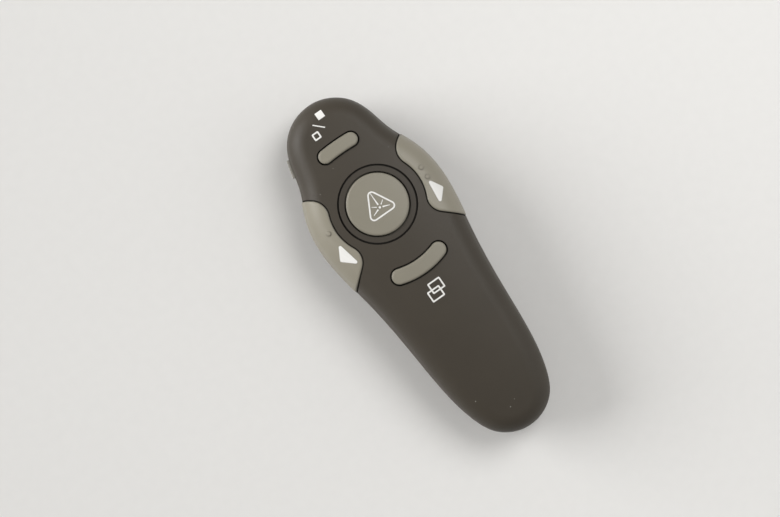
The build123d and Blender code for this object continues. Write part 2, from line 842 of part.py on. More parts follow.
def laser_leads():
    """Two short leads from the driver board up to the main board."""
    start_z = parting_z + driver_thickness / 2
    start_y = laser_back_y - driver_length + 2 * lead_radius + bite
    end_y = start_y - lead_run_back
    leads = []
    for side in (-1, 1):
        x = side * lead_spacing / 2
        route = [(x, start_y, start_z), (x, start_y, start_z + lead_straight),
                 (x, end_y, board_z - lead_straight), (x, end_y, board_z)]
        path = FilletPolyline(*route, radius=lead_bend_radius)
        leads.append(sweep(Plane(path @ 0, z_dir=path % 0) * Circle(lead_radius), path=path))
    return Compound(children=leads)


def nose_bezel():
    """Ring round the laser aperture, held by its flange between the shells."""
    tube = bar(bezel_radius, bezel_back_y, body_length, 0, parting_z) & form(seat_gap)
    tube += bar(bezel_flange_radius, bezel_back_y, bezel_back_y + bezel_flange_thickness, 0, parting_z)
    tube -= bar(bezel_bore_radius, 0, body_length, 0, parting_z)
    seat_y = bezel_back_y + fit_gap + window_thickness
    return tube - bar(window_radius + running_gap, 0, seat_y, 0, parting_z)


def laser_window():
    front_y = bezel_back_y + fit_gap + window_thickness
    return bar(window_radius, front_y - window_thickness, front_y, 0, parting_z)


# ---- Batteries and contacts ------------------------------------------------------------------------
def battery_cell(x, nub_direction):
    """Small round cell; nub_direction is +1 with its raised end to the front and -1 to the back."""
    can_front_y = cell_front_y - (cell_nub_height if nub_direction > 0 else 0)
    can_back_y = cell_back_y + (cell_nub_height if nub_direction < 0 else 0)
    can = bar(cell_radius, can_back_y, can_front_y, x, cell_z)
    can = can.fillet(bite, can.edges())
    return can + bar(cell_nub_radius, cell_back_y if nub_direction < 0 else can_front_y - bite,
                     cell_front_y if nub_direction > 0 else can_back_y + bite, x, cell_z)


def front_plate(x, plate_y):
    """Contact plate with a tab that is soldered to the board."""
    top_z = cell_z + cell_radius
    plate = middle_span(contact_width, plate_y, plate_y + contact_thickness,
                        cell_z - contact_height / 2, top_z, x)
    return plate + middle_span(contact_tab_width, plate_y, plate_y + contact_thickness, top_z - bite, board_z, x)


def positive_contact():
    return front_plate(-cell_x, cell_front_y + seat_gap / 2)


def negative_contact():
    return front_plate(cell_x, contact_front_y)


def bridge_contact():
    """Plate that joins both cells at the tail, stepped to meet the raised end of one of them."""
    low_z = cell_z - contact_height / 2
    high_z = cell_z + contact_height / 2
    step_y = cell_back_y - seat_gap / 2
    flat = span(-cell_x - contact_width / 2, contact_thickness, contact_back_y - contact_thickness,
                contact_back_y, low_z, high_z)
    riser = span(0, contact_thickness, contact_back_y - contact_thickness, step_y, low_z, high_z)
    pad = span(0, cell_x + contact_width / 2, step_y - contact_thickness, step_y, low_z, high_z)
    return flat + riser + pad


def battery_springs():
    """Coil springs on the flat ends of both cells."""
    coils = []
    travel = spring_room - 2 * spring_wire_radius - 2 * seat_gap
    for x, plate_y, direction in ((cell_x, contact_front_y, -1), (-cell_x, contact_back_y, 1)):
        start_y = plate_y + direction * (spring_wire_radius + seat_gap)
        coil = Helix(travel / spring_turns, travel, spring_radius)
        wire = sweep(Plane(coil @ 0, z_dir=coil % 0) * Circle(spring_wire_radius), path=coil)
        coils.append(Pos(x, start_y, cell_z) * Rot(-90 * direction, 0, 0) * wire)
    return Compound(children=coils)


# ---- Receiver --------------------------------------------------------------------------------------
def receiver_housing():
    """Rounded housing with room for the board and a mouth for the plug."""
    block = middle_span(receiver_width, receiver_back_y, plug_y, receiver_z, receiver_z + receiver_height)
    block = block.fillet(receiver_round, block.edges().filter_by(Axis.Z))
    flat_edges = block.edges().group_by(Axis.Z)
    block = block.fillet(receiver_edge_round, flat_edges[0] + flat_edges[-1])
    low_z = plug_z - plug_height / 2 - seat_gap
    high_z = plug_z + plug_height / 2 + seat_gap
    hollow = middle_span(receiver_width - 2 * receiver_wall, receiver_back_y + receiver_wall,
                         plug_y - receiver_wall, low_z, high_z)
    mouth = middle_span(plug_width + 2 * seat_gap, plug_y - 2 * receiver_wall, plug_y + bite, low_z, high_z)
    return block - [hollow, mouth]


def receiver_plug_shell():
    back_y = plug_y - plug_hidden_length
    tube = middle_span(plug_width, back_y, plug_tip_y, plug_z - plug_height / 2, plug_z + plug_height / 2)
    tube -= middle_span(plug_width - 2 * plug_wall, back_y - bite, plug_tip_y + bite,
                        plug_z - plug_height / 2 + plug_wall, plug_z + plug_height / 2 - plug_wall)
    window_y = plug_tip_y - plug_window_set_back
    for x in (-plug_window_spacing / 2, plug_window_spacing / 2):
        tube -= middle_span(plug_window, window_y - plug_window, window_y, 0, body_height, x)
    return tube


def receiver_tongue():
    """Insulator inside the plug that carries the contact strips."""
    low_z = plug_z - plug_height / 2 + plug_wall + seat_gap
    return middle_span(plug_width - 2 * plug_wall - 2 * seat_gap, plug_y - plug_hidden_length,
                       plug_tip_y - fit_gap, low_z, low_z + tongue_board_height)


def receiver_contacts():
    low_z = plug_z - plug_height / 2 + plug_wall + seat_gap + tongue_board_height
    strips = []
    for index in range(contact_strip_count):
        x = (index - (contact_strip_count - 1) / 2) * contact_strip_pitch
        strips.append(middle_span(contact_strip_width, plug_tip_y - fit_gap - contact_strip_length - bite,
                                  plug_tip_y - fit_gap - bite, low_z, low_z + contact_strip_thickness, x))
    return Compound(children=strips)


def receiver_board():
    width = receiver_width - 2 * receiver_wall - 2 * inner_gap
    return middle_span(width, receiver_back_y + receiver_wall + inner_gap, plug_y - plug_hidden_length,
                       plug_z - receiver_board_thickness / 2, plug_z + receiver_board_thickness / 2)


# ---- Screws ----------------------------------------------------------------------------------------
def screw(x, y, seat_z, radius, length, head_radius, head_height, up):
    """Screw whose head sits at seat_z; up is +1 where the shank points upwards."""
    shank = Cylinder(radius, length + bite, align=(Align.CENTER, Align.CENTER, Align.MIN))
    head = Pos(0, 0, -head_height) * Cylinder(head_radius, head_height,
                                              align=(Align.CENTER, Align.CENTER, Align.MIN))
    head = head.fillet(screw_head_round, head.edges().group_by(Axis.Z)[0])
    arm = Box(drive_recess_width, 2 * head_radius * drive_recess_reach, 2 * drive_recess_depth)
    cross = arm + Rot(0, 0, 90) * arm
    piece = head + Pos(0, 0, -bite) * shank - Pos(0, 0, -head_height) * cross
    return Pos(x, y, seat_z) * (piece if up > 0 else Rot(180, 0, 0) * piece)


def shell_screws():
    screws = [screw(x, y, seat_z, screw_radius, screw_length, screw_head_radius, screw_head_height, 1)
              for x, y, seat_z in shell_screw_places()]
    return Compound(children=screws)


def board_screws():
    screws = [screw(x, board_screw_y, board_top_z, board_screw_radius, board_screw_length,
                    board_screw_head_radius, board_screw_head_height, -1)
              for x in (-board_screw_x, board_screw_x)]
    return Compound(children=screws)


# ---- All nodes -------------------------------------------------------------------------------------
def build_nodes():
    """Every node of the clicker by name."""
    makers = [top_shell, bottom_shell, battery_door, laser_button, laser_button_bezel, blank_screen_button,
              window_switch_button, previous_button, next_button, main_pcb, radio_chip, crystal_can,
              passive_components, power_switch_body, power_switch_knob, laser_barrel, laser_lens, laser_diode,
              laser_driver_board, laser_leads, nose_bezel, laser_window, positive_contact, negative_contact,
              bridge_contact, battery_springs, receiver_housing, receiver_plug_shell, receiver_tongue,
              receiver_contacts, receiver_board, shell_screws, board_screws]
    nodes = {maker.__name__: maker() for maker in makers}
    nodes["battery_cell_left"] = battery_cell(-cell_x, 1)
    nodes["battery_cell_right"] = battery_cell(cell_x, -1)
    for key in ("laser", "blank_screen", "window_switch", "previous", "next"):
        nodes[key + "_tact_switch"] = tact_switch(key)
        nodes[key + "_tact_plunger"] = tact_plunger(key)
    return nodes


os.makedirs("parts", exist_ok=True)
with SkipClean():
    for node_name, solid in build_nodes().items():
        export_step(solid, f"parts/{node_name}.step")
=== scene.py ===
"""Looks of a handheld presentation clicker, built round its packed frame.

Lengths are metres in the frame of the clicker: +X is its right hand side, +Y runs to the nose and +Z is up, out
of the keys. The file is laid out as an add-on and is run as a script.
"""
from math import cos, pi, radians, sin, tan

import bmesh
import bpy
from bpy.props import FloatProperty, FloatVectorProperty, PointerProperty
from mathutils import Matrix, Vector
from mathutils.bvhtree import BVHTree


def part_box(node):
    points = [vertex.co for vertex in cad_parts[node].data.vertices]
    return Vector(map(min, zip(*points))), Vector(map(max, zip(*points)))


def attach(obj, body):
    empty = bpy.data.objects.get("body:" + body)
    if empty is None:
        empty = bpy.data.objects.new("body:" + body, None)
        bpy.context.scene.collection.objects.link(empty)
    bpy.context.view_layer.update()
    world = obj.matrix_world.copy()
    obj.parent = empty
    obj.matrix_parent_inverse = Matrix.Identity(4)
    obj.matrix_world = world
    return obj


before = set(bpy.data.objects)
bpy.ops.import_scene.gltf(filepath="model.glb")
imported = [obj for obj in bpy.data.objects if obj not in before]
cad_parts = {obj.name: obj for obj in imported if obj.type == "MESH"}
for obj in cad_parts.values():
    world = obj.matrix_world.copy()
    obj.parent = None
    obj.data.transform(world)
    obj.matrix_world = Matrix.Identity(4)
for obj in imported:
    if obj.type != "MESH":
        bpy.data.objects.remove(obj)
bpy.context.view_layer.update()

bl_info = {
    "name": "Presentation Clicker Finish",
    "version": (1, 0, 0),
    "blender": (4, 5, 0),
    "location": "View3D > Sidebar > Clicker",
    "description": "Finishes, prints and small parts of a handheld presentation clicker",
    "category": "Object",
}

DOWN = Vector((0, 0, -1))
UP = Vector((0, 0, 1))
KEYS = ("laser", "blank_screen", "window_switch", "previous", "next")


# ---- Sizes and colours a user may change -------------------------------------------------------------
def colour(name, description, default):
    """Colour property in linear values."""
    return FloatVectorProperty(name=name, description=description, default=default, subtype="COLOR",
                               min=0.0, max=1.0)


def length(name, description, default):
    """Length property in metres."""
    return FloatProperty(name=name, description=description, default=default, unit="LENGTH",
                         subtype="DISTANCE", precision=5)


def share(name, description, default):
    """Property between nothing and all."""
    return FloatProperty(name=name, description=description, default=default, subtype="FACTOR", min=0.0, max=1.0)


class ClickerColours(bpy.types.PropertyGroup):
    """Colours of the plastics and of the ink."""
    shell: colour("Shell", "Soft touch coat of the body", (0.0455, 0.0370, 0.0260))
    key: colour("Key", "Keys on the top", (0.227, 0.209, 0.163))
    # The side keys' colour is the key plastic painted lighter, standing in for light on the flanks.
    side_key: colour("Side key", "Keys that wrap round the flanks", (0.254, 0.233, 0.182))
    ring: colour("Ring", "Trim round the laser key", (0.047, 0.0395, 0.0300))
    ink: colour("Ink", "Printed marks", (0.77, 0.76, 0.73))
    slider: colour("Slider", "Power slider on the flank", (0.52, 0.49, 0.43))
    receiver: colour("Receiver", "Housing of the receiver", (0.016, 0.016, 0.017))
    jacket: colour("Cell jacket", "Printed sleeve of the cells", (0.030, 0.045, 0.075))
    jacket_band: colour("Cell band", "Band at the raised end of the cells", (0.50, 0.46, 0.38))


class ClickerSurface(bpy.types.PropertyGroup):
    """Texture of the moulded surfaces."""
    grain: length("Grain", "Distance between the grains of the soft touch coat", 0.00022)
    grain_depth: length("Grain depth", "Height of the grains", 0.000012)
    wear: share("Wear", "How much the edges are polished", 0.25)
    dust: share("Dust", "How many specks of dust lie on the coat", 0.12)
    edge: length("Edge radius", "Radius that moulded edges show", 0.00018)
    key_edge: length("Key edge radius", "Radius that the rims of the keys show", 0.0009)


class ClickerPrints(bpy.types.PropertyGroup):
    """Sizes of the printed marks."""
    stroke: length("Stroke", "Width of a printed line", 0.00050)
    film: length("Film", "Height of the ink above the surface", 0.00003)
    laser_width: length("Laser mark width", "Width of the triangle on the laser key", 0.0090)
    laser_height: length("Laser mark height", "Height of the triangle on the laser key", 0.0084)
    square: length("Square", "Side of the squares near the nose", 0.00236)
    arrow_round: length("Arrow corners", "Radius of the corners of the arrows", 0.0005)
    window_width: length("Window width", "Width of each window mark", 0.0039)
    window_height: length("Window height", "Height of each window mark", 0.0031)


class ClickerStage(bpy.types.PropertyGroup):
    """Camera, floor and lamps."""
    lens: FloatProperty(name="Lens", description="Focal length of the camera in millimetres", default=101.5,
                        unit="CAMERA")
    floor: colour("Floor", "Pale floor", (0.76, 0.75, 0.73))
    key_lamp: FloatProperty(name="Key lamp", description="Power of the large lamp at the right", default=3.5,
                            unit="POWER")
    fill_light: FloatProperty(name="Fill light", description="Strength of the low soft light from the left",
                              default=3.1)
    side_light: FloatProperty(name="Side light", description="Strength of the low soft light from the right",
                              default=0.5)
    daylight: share("Daylight", "Strength of the even light from all round", 0.30)


# ---- Outlines -----------------------------------------------------------------------------------------
def turned(point, angle):
    """The flat point turned about the origin."""
    return Vector((point.x * cos(angle) - point.y * sin(angle), point.x * sin(angle) + point.y * cos(angle)))


def corner_facts(corners, index):
    """Unit vectors from a corner to both neighbours and half the angle between them."""
    corner = corners[index]
    before = (corners[index - 1] - corner).normalized()
    after = (corners[(index + 1) % len(corners)] - corner).normalized()
    return before, after, before.angle(after) / 2


def grown(corners, distance):
    """Convex outline with its edges moved outwards."""
    moved = []
    for index, corner in enumerate(corners):
        before, after, half = corner_facts(corners, index)
        moved.append(corner - (before + after).normalized() * distance / sin(half))
    return moved


def rounded(corners, radius, steps=5):
    """Closed anticlockwise outline with rounded corners and evenly divided edges."""
    arcs = []
    for index, corner in enumerate(corners):
        before, after, half = corner_facts(corners, index)
        centre = corner + (before + after).normalized() * radius / sin(half)
        start = corner + before * radius / tan(half) - centre
        sweep = pi - 2 * half
        arcs.append([centre + turned(start, sweep * step / steps) for step in range(steps + 1)])
    points = []
    for index, arc in enumerate(arcs):
        following = arcs[(index + 1) % len(arcs)][0]
        points += arc
        points += [arc[-1].lerp(following, step / steps) for step in range(1, steps)]
    return points


def rectangle(centre, width, height):
    """Corners of an upright rectangle, anticlockwise."""
    x, y = centre
    return [Vector((x - width / 2, y - height / 2)), Vector((x + width / 2, y - height / 2)),
            Vector((x + width / 2, y + height / 2)), Vector((x - width / 2, y + height / 2))]


def cross(centre, size, stroke, steps=4):
    """Outline of a plus sign, anticlockwise, with evenly divided edges."""
    far = size / 2
    near = stroke / 2
    corners = ((near, near), (near, far), (-near, far), (-near, near), (-far, near), (-far, -near),
               (-near, -near), (-near, -far), (near, -far), (near, -near), (far, -near), (far, near))
    points = [centre + Vector(corner) for corner in corners]
    sides = zip(points, points[1:] + points[:1])
    return [start.lerp(end, step / steps) for start, end in sides for step in range(steps)]


def circle(centre, radius, steps=24):
    """Points on a circle, anticlockwise."""
    return [Vector(centre) + turned(Vector((radius, 0)), 2 * pi * step / steps) for step in range(steps)]


# ---- Flat patterns: a list of points and a list of faces ----------------------------------------------
def band(outer, inner):
    """Faces between two closed outlines of as many points."""
    count = len(outer)
    faces = [(i, (i + 1) % count, count + (i + 1) % count, count + i) for i in range(count)]
    return list(outer) + list(inner), faces


def filled(outline, rings=4):
    """Faces that fill a closed outline with rings about its middle."""
    middle = sum(outline, Vector((0, 0))) / len(outline)
    count = len(outline)
    points = []
    faces = []
    for ring in range(rings):
        points += [point.lerp(middle, ring / rings) for point in outline]
    points.append(middle)
    for ring in range(rings - 1):
        low = ring * count
        faces += [(low + i, low + (i + 1) % count, low + count + (i + 1) % count, low + count + i)
                  for i in range(count)]
    low = (rings - 1) * count
    faces += [(low + i, low + (i + 1) % count, rings * count) for i in range(count)]
    return points, faces


def stroke_frame(corners, radius, stroke):
    """A printed line that follows a closed rounded outline."""
    outer = rounded(grown(corners, stroke / 2), radius + stroke / 2)
    inner = rounded(grown(corners, -stroke / 2), max(radius - stroke / 2, stroke / 10))
    return band(outer, inner)


def ray(start, end, start_width, end_width):
    """A straight printed line that may taper, with rounded corners."""
    along = (end - start).normalized()
    across = Vector((-along.y, along.x))
    corners = [start - across * start_width / 2, end - across * end_width / 2,
               end + across * end_width / 2, start + across * start_width / 2]
    return filled(rounded(corners, min(start_width, end_width) / 4, 3), 2)


def together(*patterns):
    """Several flat patterns as one."""
    points = []
    faces = []
    for more_points, more_faces in patterns:
        faces += [tuple(index + len(points) for index in face) for face in more_faces]
        points += more_points
    return points, faces


# ---- Making pieces ------------------------------------------------------------------------------------
# How far off a print is cast onto its surface, and how deep its film reaches into it.
RAY_START = 0.1
INK_SINK = 0.00002


def surface_tree(mesh):
    """Ray tree of a mesh."""
    return BVHTree.FromPolygons([vertex.co for vertex in mesh.vertices],
                                [tuple(polygon.vertices) for polygon in mesh.polygons])


def new_piece(name, points, faces, body, slot, material):
    """Mesh object that rides on a body."""
    mesh = bpy.data.meshes.new(name)
    mesh.from_pydata(points, [], faces)
    mesh.validate()
    skin = bmesh.new()
    skin.from_mesh(mesh)
    bmesh.ops.recalc_face_normals(skin, faces=skin.faces[:])
    skin.to_mesh(mesh)
    skin.free()
    mesh.update()
    piece = bpy.data.objects.new(name, mesh)
    bpy.context.scene.collection.objects.link(piece)
    mesh.materials.append(bpy.data.materials[material])
    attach(piece, body)
    return piece


def closed_skin(sheet, normals, faces, rise, sink):
    """Points and faces of a thin solid either side of a sheet."""
    count = len(sheet)
    points = [point + normal * rise for point, normal in zip(sheet, normals)]
    points += [point - normal * sink for point, normal in zip(sheet, normals)]
    solid = list(faces) + [tuple(index + count for index in reversed(face)) for face in faces]
    sides = [side for face in faces for side in zip(face, face[1:] + face[:1])]
    known = set(sides)
    solid += [(second, first, first + count, second + count) for first, second in sides
              if (second, first) not in known]
    return points, solid


def print_on(name, mesh, pattern, film, body, slot="print", material="Ink", towards=DOWN):
    """Lay a flat pattern on a mesh, seen from above or from below, as a thin film of ink."""
    tree = surface_tree(mesh)
    points, faces = pattern
    sheet = []
    normals = []
    for point in points:
        spot, normal, _, _ = tree.ray_cast(point.to_3d() - towards * RAY_START, towards)
        if spot is None:
            raise RuntimeError(f"{name} reaches past its surface at {point.x:.4f}, {point.y:.4f}")
        sheet.append(spot)
        normals.append(normal if normal.dot(towards) < 0 else -normal)
    if towards.z > 0:
        faces = [tuple(reversed(face)) for face in faces]
    solid_points, solid_faces = closed_skin(sheet, normals, faces, film, INK_SINK)
    return new_piece(name, solid_points, solid_faces, body, slot, material)


def soft_block(low, high, edge):
    """Points and faces of a block with rounded edges."""
    middle = (low + high) / 2
    skin = bmesh.new()
    bmesh.ops.create_cube(skin, size=1.0)
    for vertex in skin.verts:
        vertex.co = middle + Vector(part * (top - bottom) for part, bottom, top in zip(vertex.co, low, high))
    bmesh.ops.bevel(skin, geom=skin.edges[:], offset=edge, segments=2, profile=0.5, affect="EDGES")
    skin.verts.index_update()
    points = [vertex.co.copy() for vertex in skin.verts]
    faces = [tuple(vertex.index for vertex in face.verts) for face in skin.faces]
    skin.free()
    return points, faces


def lathe(profile, centre, steps=64):
    """Points and faces of a closed ring, its profile of radius and Y turned about a line along Y."""
    points = []
    faces = []
    count = len(profile)
    for step in range(steps):
        angle = 2 * pi * step / steps
        points += [Vector((centre.x + radius * cos(angle), y, centre.z + radius * sin(angle)))
                   for radius, y in profile]
        low = step * count
        high = (step + 1) % steps * count
        faces += [(low + i, low + (i + 1) % count, high + (i + 1) % count, high + i) for i in range(count)]
    return points, faces


def smooth(piece):
    """Shade a piece smooth."""
    for polygon in piece.data.polygons:
        polygon.use_smooth = True


def mesh_of(node):
    """Mesh of a packed node."""
    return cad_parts[node].data


def middle_of(node):
    """Middle of a packed node's box at rest."""
    low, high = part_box(node)
    return (Vector(low) + Vector(high)) / 2


# ---- Shared shader effects ----------------------------------------------------------------------------
NO_SQUASH = (1.0, 1.0, 1.0)
DRAWN_SQUASH = (1.0, 0.05, 1.0)
# The grain's slow part: how much of the height it makes, and its waves for each fine one.
COARSE_SHARE = 0.2
COARSE_SCALE = 0.12
BEVEL_SAMPLES = 4
GAP_SAMPLES = 6
# Noise values that a shade takes as nothing and as one.
FINE_SPAN = (0.35, 0.65)
WIDE_SPAN = (0.3, 0.7)
# Cosine of the turn from the real to the rounded surface where an edge begins and where it is full.
EDGE_TURN = (0.995, 0.85)
# Share of open air that counts as deep in a gap and as out of it, for the painted shade in gaps.
GAP_AIR = (0.35, 0.93)
# A track's width and the blocks of one direction, against the pitch, and the share of blocks with no tracks.
TRACK_WIDTH_SHARE = 0.36
TRACK_BLOCK_SHARE = 0.12
TRACK_BARE_SHARE = 0.42


def new_effect(name, inputs, outputs):
    """Empty node group with its named sockets."""
    group = bpy.data.node_groups.new(name, "ShaderNodeTree")
    for label, kind, value in inputs:
        socket = group.interface.new_socket(name=label, in_out="INPUT", socket_type=kind)
        socket.default_value = value
    for label, kind in outputs:
        group.interface.new_socket(name=label, in_out="OUTPUT", socket_type=kind)
    return group, group.nodes.new("NodeGroupInput").outputs, group.nodes.new("NodeGroupOutput").inputs


def connect(tree, source, target):
    """Link a socket, or set a plain value."""
    if isinstance(source, bpy.types.NodeSocket):
        tree.links.new(source, target)
    else:
        target.default_value = source


def maths(tree, operation, *values):
    """Math node whose inputs are sockets or numbers."""
    node = tree.nodes.new("ShaderNodeMath")
    node.operation = operation
    for value, target in zip(values, node.inputs):
        connect(tree, value, target)
    return node.outputs[0]


def stretch(tree, value, low, high, new_low=0.0, new_high=1.0):
    """Map Range node that clamps."""
    node = tree.nodes.new("ShaderNodeMapRange")
    for label, number in zip(("Value", "From Min", "From Max", "To Min", "To Max"),
                             (value, low, high, new_low, new_high)):
        connect(tree, number, node.inputs[label])
    return node.outputs[0]


def mixed(tree, factor, first, second):
    """Mix of two colours."""
    node = tree.nodes.new("ShaderNodeMix")
    node.data_type = "RGBA"
    connect(tree, factor, node.inputs["Factor"])
    connect(tree, first, node.inputs[6])
    connect(tree, second, node.inputs[7])
    return node.outputs[2]


def place(tree, squash=NO_SQUASH):
    """Place on the piece itself, which goes with it when it moves."""
    coordinates = tree.nodes.new("ShaderNodeTexCoord").outputs["Object"]
    if squash == NO_SQUASH:
        return coordinates
    mapping = tree.nodes.new("ShaderNodeMapping")
    mapping.inputs["Scale"].default_value = squash
    tree.links.new(coordinates, mapping.inputs["Vector"])
    return mapping.outputs[0]


def noise(tree, scale, detail=2.0, roughness=0.5, squash=NO_SQUASH):
    """Noise value at the place on the piece; scale is in waves per metre."""
    node = tree.nodes.new("ShaderNodeTexNoise")
    tree.links.new(place(tree, squash), node.inputs["Vector"])
    connect(tree, scale, node.inputs["Scale"])
    connect(tree, detail, node.inputs["Detail"])
    connect(tree, roughness, node.inputs["Roughness"])
    return node.outputs["Fac"]


def grain_effect():
    """Fine grain of a moulded or coated surface."""
    group, given, made = new_effect("Moulded Grain", [("Spacing", "NodeSocketFloat", 0.0003)],
                                    [("Height", "NodeSocketFloat"), ("Shade", "NodeSocketFloat")])
    scale = maths(group, "DIVIDE", 1.0, given["Spacing"])
    fine = noise(group, scale, detail=3.0, roughness=0.6)
    coarse = noise(group, maths(group, "MULTIPLY", scale, COARSE_SCALE))
    group.links.new(maths(group, "ADD", maths(group, "MULTIPLY", fine, 1 - COARSE_SHARE),
                          maths(group, "MULTIPLY", coarse, COARSE_SHARE)), made["Height"])
    group.links.new(stretch(group, fine, *FINE_SPAN), made["Shade"])


def drift_effect():
    """Slow drift of a colour over a piece."""
    group, given, made = new_effect("Colour Drift",
                                    [("Color", "NodeSocketColor", (0.5, 0.5, 0.5, 1.0)),
                                     ("Amount", "NodeSocketFloat", 0.1),
                                     ("Spacing", "NodeSocketFloat", 0.012)], [("Color", "NodeSocketColor")])
    wave = noise(group, maths(group, "DIVIDE", 1.0, given["Spacing"]), detail=3.0, roughness=0.55)
    level = maths(group, "MULTIPLY", maths(group, "SUBTRACT", wave, 0.5), given["Amount"])
    factor = maths(group, "ADD", 1.0, maths(group, "MULTIPLY", level, 2.0))
    node = group.nodes.new("ShaderNodeVectorMath")
    node.operation = "SCALE"
    group.links.new(given["Color"], node.inputs[0])
    group.links.new(factor, node.inputs["Scale"])
    group.links.new(node.outputs[0], made["Color"])


def edge_effect():
    """Rounded edges and a mask of where they are."""
    group, given, made = new_effect("Rounded Edge", [("Radius", "NodeSocketFloat", 0.0002)],
                                    [("Normal", "NodeSocketVector"), ("Mask", "NodeSocketFloat")])
    bevel = group.nodes.new("ShaderNodeBevel")
    bevel.samples = BEVEL_SAMPLES
    group.links.new(given["Radius"], bevel.inputs["Radius"])
    geometry = group.nodes.new("ShaderNodeNewGeometry")
    facing = group.nodes.new("ShaderNodeVectorMath")
    facing.operation = "DOT_PRODUCT"
    group.links.new(bevel.outputs[0], facing.inputs[0])
    group.links.new(geometry.outputs["Normal"], facing.inputs[1])
    group.links.new(bevel.outputs[0], made["Normal"])
    group.links.new(stretch(group, facing.outputs["Value"], *EDGE_TURN), made["Mask"])


def dust_effect():
    """Sparse specks of dust."""
    group, given, made = new_effect("Dust Specks",
                                    [("Spacing", "NodeSocketFloat", 0.0025), ("Speck", "NodeSocketFloat", 0.00016),
                                     ("Amount", "NodeSocketFloat", 0.1)], [("Mask", "NodeSocketFloat")])
    cells = group.nodes.new("ShaderNodeTexVoronoi")
    group.links.new(place(group), cells.inputs["Vector"])
    group.links.new(maths(group, "DIVIDE", 1.0, given["Spacing"]), cells.inputs["Scale"])
    reach = maths(group, "DIVIDE", given["Speck"], given["Spacing"])
    near = maths(group, "LESS_THAN", cells.outputs["Distance"], reach)
    chance = group.nodes.new("ShaderNodeSeparateColor")
    group.links.new(cells.outputs["Color"], chance.inputs[0])
    lucky = maths(group, "LESS_THAN", chance.outputs["Red"], given["Amount"])
    group.links.new(maths(group, "MULTIPLY", near, lucky), made["Mask"])


def painted_gap_shade_effect():
    """Mask for painted shade, from ambient occlusion: one in the open and nothing deep in a gap."""
    group, given, made = new_effect("Painted Gap Shade",
                                    [("Reach", "NodeSocketFloat", 0.0009),
                                     ("Normal", "NodeSocketVector", (0.0, 0.0, 1.0))], [("Mask", "NodeSocketFloat")])
    walls = group.nodes.new("ShaderNodeAmbientOcclusion")
    walls.samples = GAP_SAMPLES
    group.links.new(given["Reach"], walls.inputs["Distance"])
    group.links.new(given["Normal"], walls.inputs["Normal"])
    group.links.new(stretch(group, walls.outputs["AO"], *GAP_AIR), made["Mask"])


def drawn_effect():
    """Fine lines of a drawn or brushed metal, along one axis of the piece."""
    group, given, made = new_effect("Drawn Metal", [("Spacing", "NodeSocketFloat", 0.0001)],
                                    [("Height", "NodeSocketFloat"), ("Shade", "NodeSocketFloat")])
    lines = noise(group, maths(group, "DIVIDE", 1.0, given["Spacing"]), roughness=0.6, squash=DRAWN_SQUASH)
    group.links.new(lines, made["Height"])
    group.links.new(stretch(group, lines, *WIDE_SPAN), made["Shade"])


def track_effect():
    """Copper tracks of a circuit board: lines that run along X or along Y in blocks, some blocks bare."""
    group, given, made = new_effect("Board Tracks", [("Pitch", "NodeSocketFloat", 0.0007)],
                                    [("Mask", "NodeSocketFloat")])
    split = group.nodes.new("ShaderNodeSeparateXYZ")
    group.links.new(place(group), split.inputs[0])
    lines = []
    for axis in (0, 1):
        phase = maths(group, "FRACT", maths(group, "DIVIDE", split.outputs[axis], given["Pitch"]))
        lines.append(maths(group, "LESS_THAN", phase, TRACK_WIDTH_SHARE))
    blocks = group.nodes.new("ShaderNodeTexVoronoi")
    blocks.distance = "CHEBYCHEV"
    group.links.new(place(group), blocks.inputs["Vector"])
    group.links.new(maths(group, "DIVIDE", TRACK_BLOCK_SHARE, given["Pitch"]), blocks.inputs["Scale"])
    chance = group.nodes.new("ShaderNodeSeparateColor")
    group.links.new(blocks.outputs["Color"], chance.inputs[0])
    along = maths(group, "GREATER_THAN", chance.outputs["Red"], 0.5)
    tracked = maths(group, "GREATER_THAN", chance.outputs["Green"], TRACK_BARE_SHARE)
    choice = group.nodes.new("ShaderNodeMix")
    group.links.new(along, choice.inputs["Factor"])
    group.links.new(lines[0], choice.inputs[2])
    group.links.new(lines[1], choice.inputs[3])
    group.links.new(maths(group, "MULTIPLY", choice.outputs[0], tracked), made["Mask"])


# ---- Materials ----------------------------------------------------------------------------------------
class Finish:
    """A material under construction."""

    def __init__(self, name):
        self.material = bpy.data.materials.new(name)
        self.material.use_nodes = True
        self.tree = self.material.node_tree
        self.shader = self.tree.nodes["Principled BSDF"]

    def set(self, **values):
        """Plain values on the shader's own sockets."""
        for label, value in values.items():
            self.shader.inputs[label.replace("_", " ")].default_value = value

    def effect(self, name, **values):
        """One of the shared effects, with its own values."""
        node = self.tree.nodes.new("ShaderNodeGroup")
        node.node_tree = bpy.data.node_groups[name]
        for label, value in values.items():
            connect(self.tree, value, node.inputs[label])
        return node.outputs

    def feed(self, label, socket):
        """Link a value that changes over the surface."""
        self.tree.links.new(socket, self.shader.inputs[label])

    def between(self, mask, low, high):
        """Value that a mask moves from low to high."""
        return stretch(self.tree, mask, 0.0, 1.0, low, high)

    def drift(self, colour, amount, spacing=0.012):
        """Base colour that drifts slowly over the piece."""
        self.feed("Base Color", self.effect("Colour Drift", Color=colour, Amount=amount, Spacing=spacing)["Color"])

    def relief(self, height, depth, normal=None):
        """Bump from a height between nothing and one, depth in metres."""
        bump = self.tree.nodes.new("ShaderNodeBump")
        bump.inputs["Strength"].default_value = 1.0
        bump.inputs["Distance"].default_value = depth
        self.tree.links.new(height, bump.inputs["Height"])
        if normal is not None:
            self.tree.links.new(normal, bump.inputs["Normal"])
        self.feed("Normal", bump.outputs[0])


def opaque(rgb):
    """Colour with full alpha."""
    return (*rgb, 1.0)


def scaled(rgb, factor):
    """The colour made lighter or darker, with full alpha."""
    return opaque([min(value * factor, 1.0) for value in rgb])
